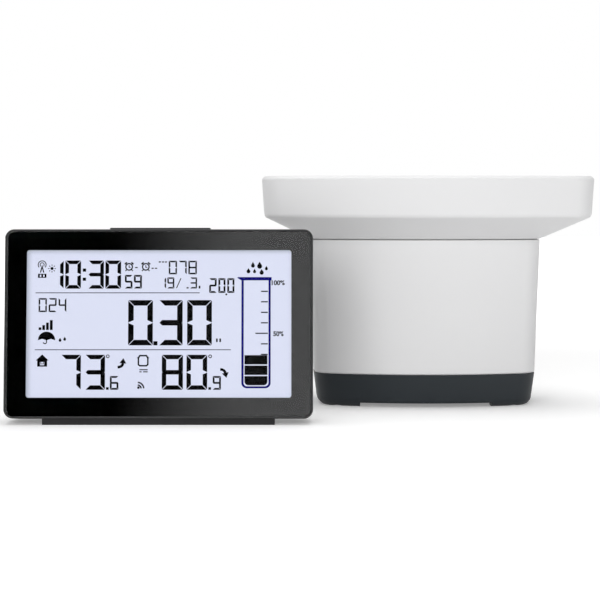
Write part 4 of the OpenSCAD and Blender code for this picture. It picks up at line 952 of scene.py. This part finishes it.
boxRows = [     # left, right, top, bottom: colon, points, rules, signal bars, short marks
    (107.6, 112, 360, 364.3), (107.6, 112, 372.3, 376.5), (202.4, 207.9, 457.3, 462.8),
    (139.7, 143.3, 518.5, 522), (276, 279.5, 518.5, 522), (44.7, 263.9, 392.1, 393.1), (44.5, 305.8, 468.2, 469.2),
    (49.3, 53, 438.8, 442.3), (54.2, 57.8, 435.8, 442.3), (59.2, 62.8, 432.4, 442.3), (64.2, 68, 429.1, 442.3),
    (47.8, 59, 367, 368.2), (47.8, 59, 371.3, 372.5), (47.8, 50.2, 368, 371.5), (52.2, 54.6, 368, 371.5),
    (56.6, 59, 368, 371.5), (209, 212, 350.4, 352), (213.4, 216.2, 350.4, 352), (217.4, 220, 350.4, 352),
    (177.5, 181, 358, 359.4), (199.5, 202.5, 359, 360.4), (204, 207, 359, 360.4), (286, 288.2, 453.7, 458.4),
    (290.4, 292.6, 453.7, 458.4), (184, 195, 494.6, 496), (184, 187, 497.4, 498.8), (189, 195, 497.4, 498.8),
    (246.4, 249.2, 385, 386.8), (262.6, 264.8, 383.2, 386.8),
]


def alarmClock(x, y):
    clock = [stroked(arc((x, y + 0.6), 4.4, 0, 342, 19), 1.7, True),
             stroked([(x, y - 1.8), (x, y + 1.2), (x + 2, y + 1.2)], 1.1)]
    for side in (-1, 1):        # bells and feet
        clock += [stroked([(x + side * 5.8, y - 2.8), (x + side * 2.9, y - 5.4)], 2),
                  stroked([(x + side * 3.5, y + 4.6), (x + side * 5, y + 6.2)], 1.5)]
    return clock


def raindrop(x, y, width, height):
    low = y + height / 2 - width / 2
    return filled([(x, y - height / 2)] + arc((x, low), width / 2, -35, 215, 14))


def smallSun(x, y):
    rays = [stroked([(x + reach * math.cos(a), y + reach * math.sin(a)) for reach in (3.4, 5.2)], 1.1)
            for a in (math.radians(45 * i) for i in range(8))]
    return [disc(x, y, 2.1)] + rays


def curvedArrow(start, bend, tip, across=4.6, width=3.5):
    start, bend, tip = Vector(start), Vector(bend), Vector(tip)
    shaft = [tuple(start * (1 - t) ** 2 + bend * 2 * t * (1 - t) + tip * t * t) for t in (i / 8 for i in range(9))]
    ahead = (tip - bend).normalized()
    side = Vector((-ahead.y, ahead.x)) * across
    head = [tuple(corner) for corner in (tip + side, tip - side, tip + ahead * across * 1.5)]
    return [stroked(shaft, width), filled(head)]


# Waves that spread from a point, each given as radius, start, end, steps and width
def waves(middle, *arcs):
    return [stroked(arc(middle, radius, start, end, steps), width) for radius, start, end, steps, width in arcs]


inkShapes = [bar for top, bottom, stroke, *figures in digitRows for figure, left, right in figures
             for bar in digit(figure, left, right, top, bottom, stroke)]
inkShapes += [box(*edges) for edges in boxRows]
inkShapes += alarmClock(169.5, 357.2) + alarmClock(191.8, 357.2) + smallSun(66.4, 360)
# mast and its waves, the stroke between the date's figures, a decimal point
inkShapes += waves((53.2, 355), (2.7, 130, 410, 12, 1.1), (5.3, 140, 400, 14, 1.2))
inkShapes += [filled([(53.2, 354.4), (56.2, 365.5), (54.6, 365.5), (53.2, 360), (51.8, 365.5), (50.2, 365.5)]),
              stroked([(238.9, 372.9), (233, 386.3)], 1.2), disc(299.5, 394.7, 1.3)]
inkShapes += [raindrop(*drop) for drop in (
    (335, 354.8, 5, 8), (344, 355.5, 6.5, 9.5), (353, 359.4, 4, 6), (329, 363, 5, 7), (337.2, 363.3, 4, 6),
    (346.7, 364.6, 5.5, 7.5), (78, 455.4, 3.6, 5.4), (84.2, 454, 3.6, 5.4))]
# umbrella
inkShapes += [filled(arc((60, 456), 11.5, 180, 360, 18) + [(66, 454.2), (60, 456), (54, 454.2)]),
              stroked([(60, 455)] + [(60, 458)] + arc((57.8, 458.4), 2.2, 0, 170, 8), 1.3)]
# house with a window, and the frame of the outdoor mark
inkShapes += [filled([(54.4, 475), (63, 483), (61, 483), (61, 485), (47.8, 485), (47.8, 483), (45.8, 483)]),
              box(47.8, 51.6, 484.9, 491.2), box(57.2, 61, 484.9, 491.2), box(51.5, 57.3, 489.4, 491.2),
              stroked([(52.6, 485), (52.6, 487.6), (56.2, 487.6), (56.2, 485)], 0.8),
              stroked([(184.4, 476.6), (193.4, 476.6), (195.2, 480), (195.2, 488.4), (193.4, 490), (184.4, 490),
                       (182.6, 488.4), (182.6, 480)], 2.0, True),
              stroked([(181.4, 480.2), (185.6, 475.8)], 1.8), stroked([(192.2, 475.8), (196.4, 480.2)], 1.8)]
# radio mark, degree rings and arrows
inkShapes += [disc(182.9, 519.2, 1.7)]
inkShapes += waves((181.7, 520.4), (4.7, -88, -2, 8, 1.9), (8.2, -88, -2, 10, 1.9))
inkShapes += [stroked(arc(ring, 1.9, 0, 330, 11), 1.1, True) for ring in ((141.8, 477.4), (278.2, 477.5))]
inkShapes += curvedArrow((155, 492), (161.6, 491.4), (162, 486.8))
inkShapes += curvedArrow((291.6, 494.8), (297.4, 495.2), (298.4, 499.4))
# ticks and filled bars of the rain tube
tube = {"ticks": (390.6, 404.6, 418.7, 432.7, 446.7, 460.8, 474.9), "tickLeft": 345.9, "halfTickLeft": 338.5,
        "tickRight": 355, "tickHalf": 0.8, "bars": (324, 354.5), "barRows": ((475.9, 488.2), (489.7, 502.2))}
for number, tickY in enumerate(tube["ticks"]):
    inkShapes.append(box(tube["halfTickLeft"] if number == 4 else tube["tickLeft"], tube["tickRight"],
                         tickY - tube["tickHalf"], tickY + tube["tickHalf"]))
inkShapes += [box(*tube["bars"], *rows) for rows in tube["barRows"]]
inkShapes.append(filled([(324, 503.8), (354.5, 503.8)] + arc((349.5, 511), 5, 0, 90, 6)
                        + arc((329, 511), 5, 90, 180, 6)))


def percentage(words, left, right, top, bottom):
    curve = bpy.data.curves.new("percentage", "FONT")
    curve.body = words
    curve.offset = 0.035
    holder = bpy.data.objects.new("percentage", curve)
    scene.collection.objects.link(holder)
    mesh = bakedFrom(holder)
    low, high = [[pick(v.co[k] for v in mesh.vertices) for k in (0, 1)] for pick in (min, max)]
    flat = bmesh.new()
    flat.from_mesh(mesh)
    for vertex in flat.verts:
        x = left + (vertex.co.x - low[0]) / (high[0] - low[0]) * (right - left)
        y = bottom + (vertex.co.y - low[1]) / (high[1] - low[1]) * (top - bottom)
        vertex.co = inkPlane([(x, y)], screen["back"])[0]
    bmesh.ops.remove_doubles(flat, verts=flat.verts, dist=0.0005)
    thick = bmesh.ops.extrude_face_region(flat, geom=flat.faces[:])
    for part in thick["geom"]:
        if isinstance(part, bmesh.types.BMVert):
            part.co.y = screen["front"]
    bmesh.ops.recalc_face_normals(flat, faces=flat.faces)
    flat.to_mesh(mesh)
    flat.free()
    return mesh


inkShapes += [percentage("100%", 360, 377.5, 375.8, 382.4), percentage("50%", 362.3, 376, 444, 450.6)]
addPiece("screenInk", joined(inkShapes), "display", [], "inkBlack", onDisplay)
tubeWall = [(319.6, 371.5), (360, 371.5), (360, 376), (358.8, 376)]
tubeWall += arc((351.6, 512.8), 7.2, 0, 90, 8) + arc((327, 512.8), 7.2, 90, 180, 8)
tubeWall += [(319.8, 376), (314.2, 372.6), (314.8, 371.5)]
tubeRoom = [(355.9, 375.9), (322.8, 375.9), (322.8, 512)]
tubeRoom += arc((327.6, 512.5), 4.9, 180, 90, 6) + arc((351.1, 512.5), 4.9, 90, 0, 6)
addPiece("rainTube", carved(filled(tubeWall), filled(tubeRoom, 0.5)), "display", [], "inkNavy", onDisplay)
print("screen drawn with", len(inkShapes), "marks")

pressBar = {"cap": (42.8, 7, 0.8, 77.4, 81.1, 0.28, (0, 10)), "flange": (44, 7.6, 0.5, 76.7, 77.7, 0.1, (0, 10))}
addPiece("pressBar", welded(plate(*pressBar["cap"]), plate(*pressBar["flange"])),
         "press_bar", ["press_bar"], "caseBlack", onDisplay)

# Foot strip between the floor and the leaning case, in the collector's frame
foot = {"front": 97.2, "back": 88.2, "half": 48.85, "grooves": 38, "groove": (1.0, 7, 0.4, -1, 0.35, 0.02),
        "pitch": 2.5, "firstGroove": 46.25, "grooveMiddle": 92.7}


def underCase(forward):     # height of the case's underside at a distance in front of the collector's middle
    return displaySpot["up"] - (displaySpot["front"] - forward) * math.tan(math.radians(displaySpot["lean"]))


footSide = [(-foot["front"], 0), (-foot["back"], 0), (-foot["back"], underCase(foot["back"])),
            (-foot["front"], underCase(foot["front"]))]
footBar = loft([(sideways(footSide, -displaySpot["left"] + side * foot["half"]), 0) for side in (-1, 1)])
footGrooves = row(plate(*foot["groove"]), foot["grooves"],
                  (-displaySpot["left"] - foot["firstGroove"], -foot["grooveMiddle"], 0.0),
                  (foot["pitch"], 0.0, 0.0))
addPiece("footStrip", carved(footBar, footGrooves), "display", ["foot_strip"], "rubber")
print("display front made")

# Rear housing with its battery well, keyholes, sound slots and hinge ears
rear = {
    "outside": [(0, 0, 16, 0), (0, 0, 19, 1.2), (4, 6, 26, 1.3), (6, 8, 26, 0)],     # side, foot, depth, softness
    "inside": [(1.8, 1.8, 15, 0), (1.8, 1.8, 19, 1.0), (5.8, 7.8, 24.2, 0)],
    "kept": [((-26.45, 12, 44.7), (26.45, 27, 71.1)), ((-28.65, 22.6, 42.5), (28.65, 27, 82))],
    "well": [((-26.45, 12.1, 44.7), (26.45, 22.7, 71.1)), ((-25.25, 13.3, 45.9), (25.25, 30, 69.9))],
    "mouths": [((-25.25, 13.2, 45.9), (25.25, 40, 69.9)), ((-27.05, 24.2, 44.1), (27.05, 40, 90))],
    "tower": (3.7, 15.5, 27), "screwBore": (1.15, 10, 40), "screwHead": (2.5, 18.25, 40),
    "ear": (3, 8.6, 0.3, 22, 29.8, 0.25), "earMiddle": (29.9, 7.44), "knuckle": 2.6, "hinge": (27.2, 3.138),
    "pin": 1.25, "keyOpening": (9.6, 6.6, 3.0, 19, 40, 0.02), "keysAcross": 52, "topKey": 52.9, "keyPitch": 13,
    "sound": (12, 1.2, 0.58, 19.5, 30, 0.02, (34, 24)), "sounds": (5, (0.0, 0.0, -5.2), (0.0, 0.0, 2.6)),
    "keyhole": (3.6, 19, 33), "keyholeSlot": (3.6, 9.6, 1.79, 19.1, 33.1, 0.02), "keyholeAcross": 42,
    "keyholeHeights": (61.9, 64.9),
}


def rearLoft(rings):
    keys = []
    for side, low, y, soft in rings:
        height = display["size"][1] - side - low
        keys.append((upright(roundRect(display["size"][0] - 2 * side, height, display["corner"],
                                       (0, low + height / 2), 10), y), soft))
    return loft(keys)


rearInner = carved(rearLoft(rear["inside"]), *[block(*room) for room in rear["kept"]],
                   pegs(caseSpots, *rear["tower"], upright))
wellOutside, wellInside = [block(*room) for room in rear["well"]]
ears, keyholes = [], []
for side in (-1, 1):
    earX, earZ = side * rear["earMiddle"][0], rear["earMiddle"][1]
    half = rear["ear"][0] / 2
    ears += [plate(*rear["ear"], (earX, earZ), upright),
             peg(rear["knuckle"], earX - half, earX + half, rear["hinge"], sideways)]
    holeSpot, slotSpot = [(side * rear["keyholeAcross"], height) for height in rear["keyholeHeights"]]
    keyholes += [peg(*rear["keyhole"], holeSpot, upright), plate(*rear["keyholeSlot"], slotSpot, upright)]
rearBody = welded(carved(rearLoft(rear["outside"]), rearInner), carved(wellOutside, wellInside), *ears)
keySpots = [(side * rear["keysAcross"], rear["topKey"] - rear["keyPitch"] * step)
            for side in (-1, 1) for step in range(3)]
rearBody = carved(
    rearBody, *[block(*room) for room in rear["mouths"]], pegs(caseSpots, *rear["screwBore"], upright, 20),
    pegs(caseSpots, *rear["screwHead"], upright),
    joined([plate(*rear["keyOpening"], spot, upright) for spot in keySpots]),
    row(plate(*rear["sound"], upright), *rear["sounds"]),
    *keyholes, peg(rear["pin"], -40, 40, rear["hinge"], sideways, 20))
addPiece("rearMoulding", rearBody, "display", ["rear_housing"], "caseBlack", onDisplay)

door = {"slab": (53.7, 31.5, 0.5, 24.4, 26, 0.3, (0, 60.05)), "grip": (24, 1, 0.45, 25.5, 26.4, 0.18, (0, 0.5)),
        "grips": (3, (0.0, 0.0, 56.3), (0.0, 0.0, 2.2)),
        "arrow": [(-2.4, 65.4), (2.4, 65.4), (0, 68.6)], "arrowDepths": (25.75, 27)}
doorArrow = loft([(upright(door["arrow"], y), 0) for y in door["arrowDepths"]])
doorGrips = row(plate(*door["grip"], upright), *door["grips"])
addPiece("batteryDoor", welded(carved(plate(*door["slab"], upright), doorArrow), doorGrips), "battery_door",
         ["battery_door"], "caseBlack", onDisplay)

# Rear keys: rings of the cap are inset, depth and softness
key = {"size": (9, 6, 2.7), "cap": [(0, 23.9, 0), (0, 26.35, 0.3), (0.5, 26.6, 0.3), (1.6, 26.52, 0)],
       "flange": (11, 8, 3, 22.9, 23.95, 0.15), "stem": [(1.6, 16.3, 0), (1.6, 23.2, 0)]}
for number, spot in enumerate(keySpots, 1):
    width, height, corner = key["size"]
    keyCap = loft([(upright(roundRect(width - 2 * i, height - 2 * i, corner - i, spot), y), soft)
                   for i, y, soft in key["cap"]])
    addPiece("rearKey%d" % number,
             welded(keyCap, plate(*key["flange"], spot, upright), turned(key["stem"], spot, upright)),
             "key_%d" % number, ["rear_key_%d" % number], "keyGrey", onDisplay)
addPiece("caseScrews", screws([(x, rear["screwHead"][1], z) for x, z in caseSpots], 1.1, 9, 2.2, 1.5,
                              (math.radians(90), 0.0, 0.0)),
         "display", ["case_screws"], "steel", onDisplay)

# Desk stand, drawn lying from its hinge backwards
stand = {"size": (56, 44, 3.9), "middle": (0, 18),
         "rings": [(0.5, -2.6, 0), (0, -2.6, 0.4), (0, 0, 0.4), (0.5, 0, 0)],
         "hinge": (-117, -70.62, 2.6), "knuckle": [(2.3, -28, 0), (2.6, -28, 0.3), (2.6, 28, 0.3), (2.3, 28, 0)],
         "recess": (38, 22, 2.5, -0.5, 1, 0.02, (0, 18)), "padSpots": [(-21, 33), (21, 33)],
         "padRoom": (4, -3.6, -2),
         "pad": [(3.5, -2, 0), (4, -2, 0.1), (4, -2.6, 0.3), (3.2, -2.6, 0)]}
onHinge = Matrix.Translation(stand["hinge"])
width, depth, corner = stand["size"]
standPlate = loft([(lying(roundRect(width - 2 * i, depth - 2 * i, corner - i, stand["middle"]), z), soft)
                   for i, z, soft in stand["rings"]])
standPlate = carved(standPlate, block((-40, -30, -10), (40, 0, 10)))
standPlate = welded(standPlate, turned(stand["knuckle"], (0, 0), sideways))
standPlate = carved(standPlate, plate(*stand["recess"]), peg(rear["pin"], -30, 30, (0, 0), sideways, 20),
                    pegs(stand["padSpots"], *stand["padRoom"]))
addPiece("deskStand", standPlate, "desk_stand", ["desk_stand"], "caseBlack", onHinge)
addPiece("standPads", joined([turned(stand["pad"], spot) for spot in stand["padSpots"]]), "desk_stand",
         ["stand_pads"], "rubber", onHinge)
print("display back made")

for nodeName, node in frame["nodes"].items():
    if not node.hide_render:
        print("kept as packed:", nodeName)
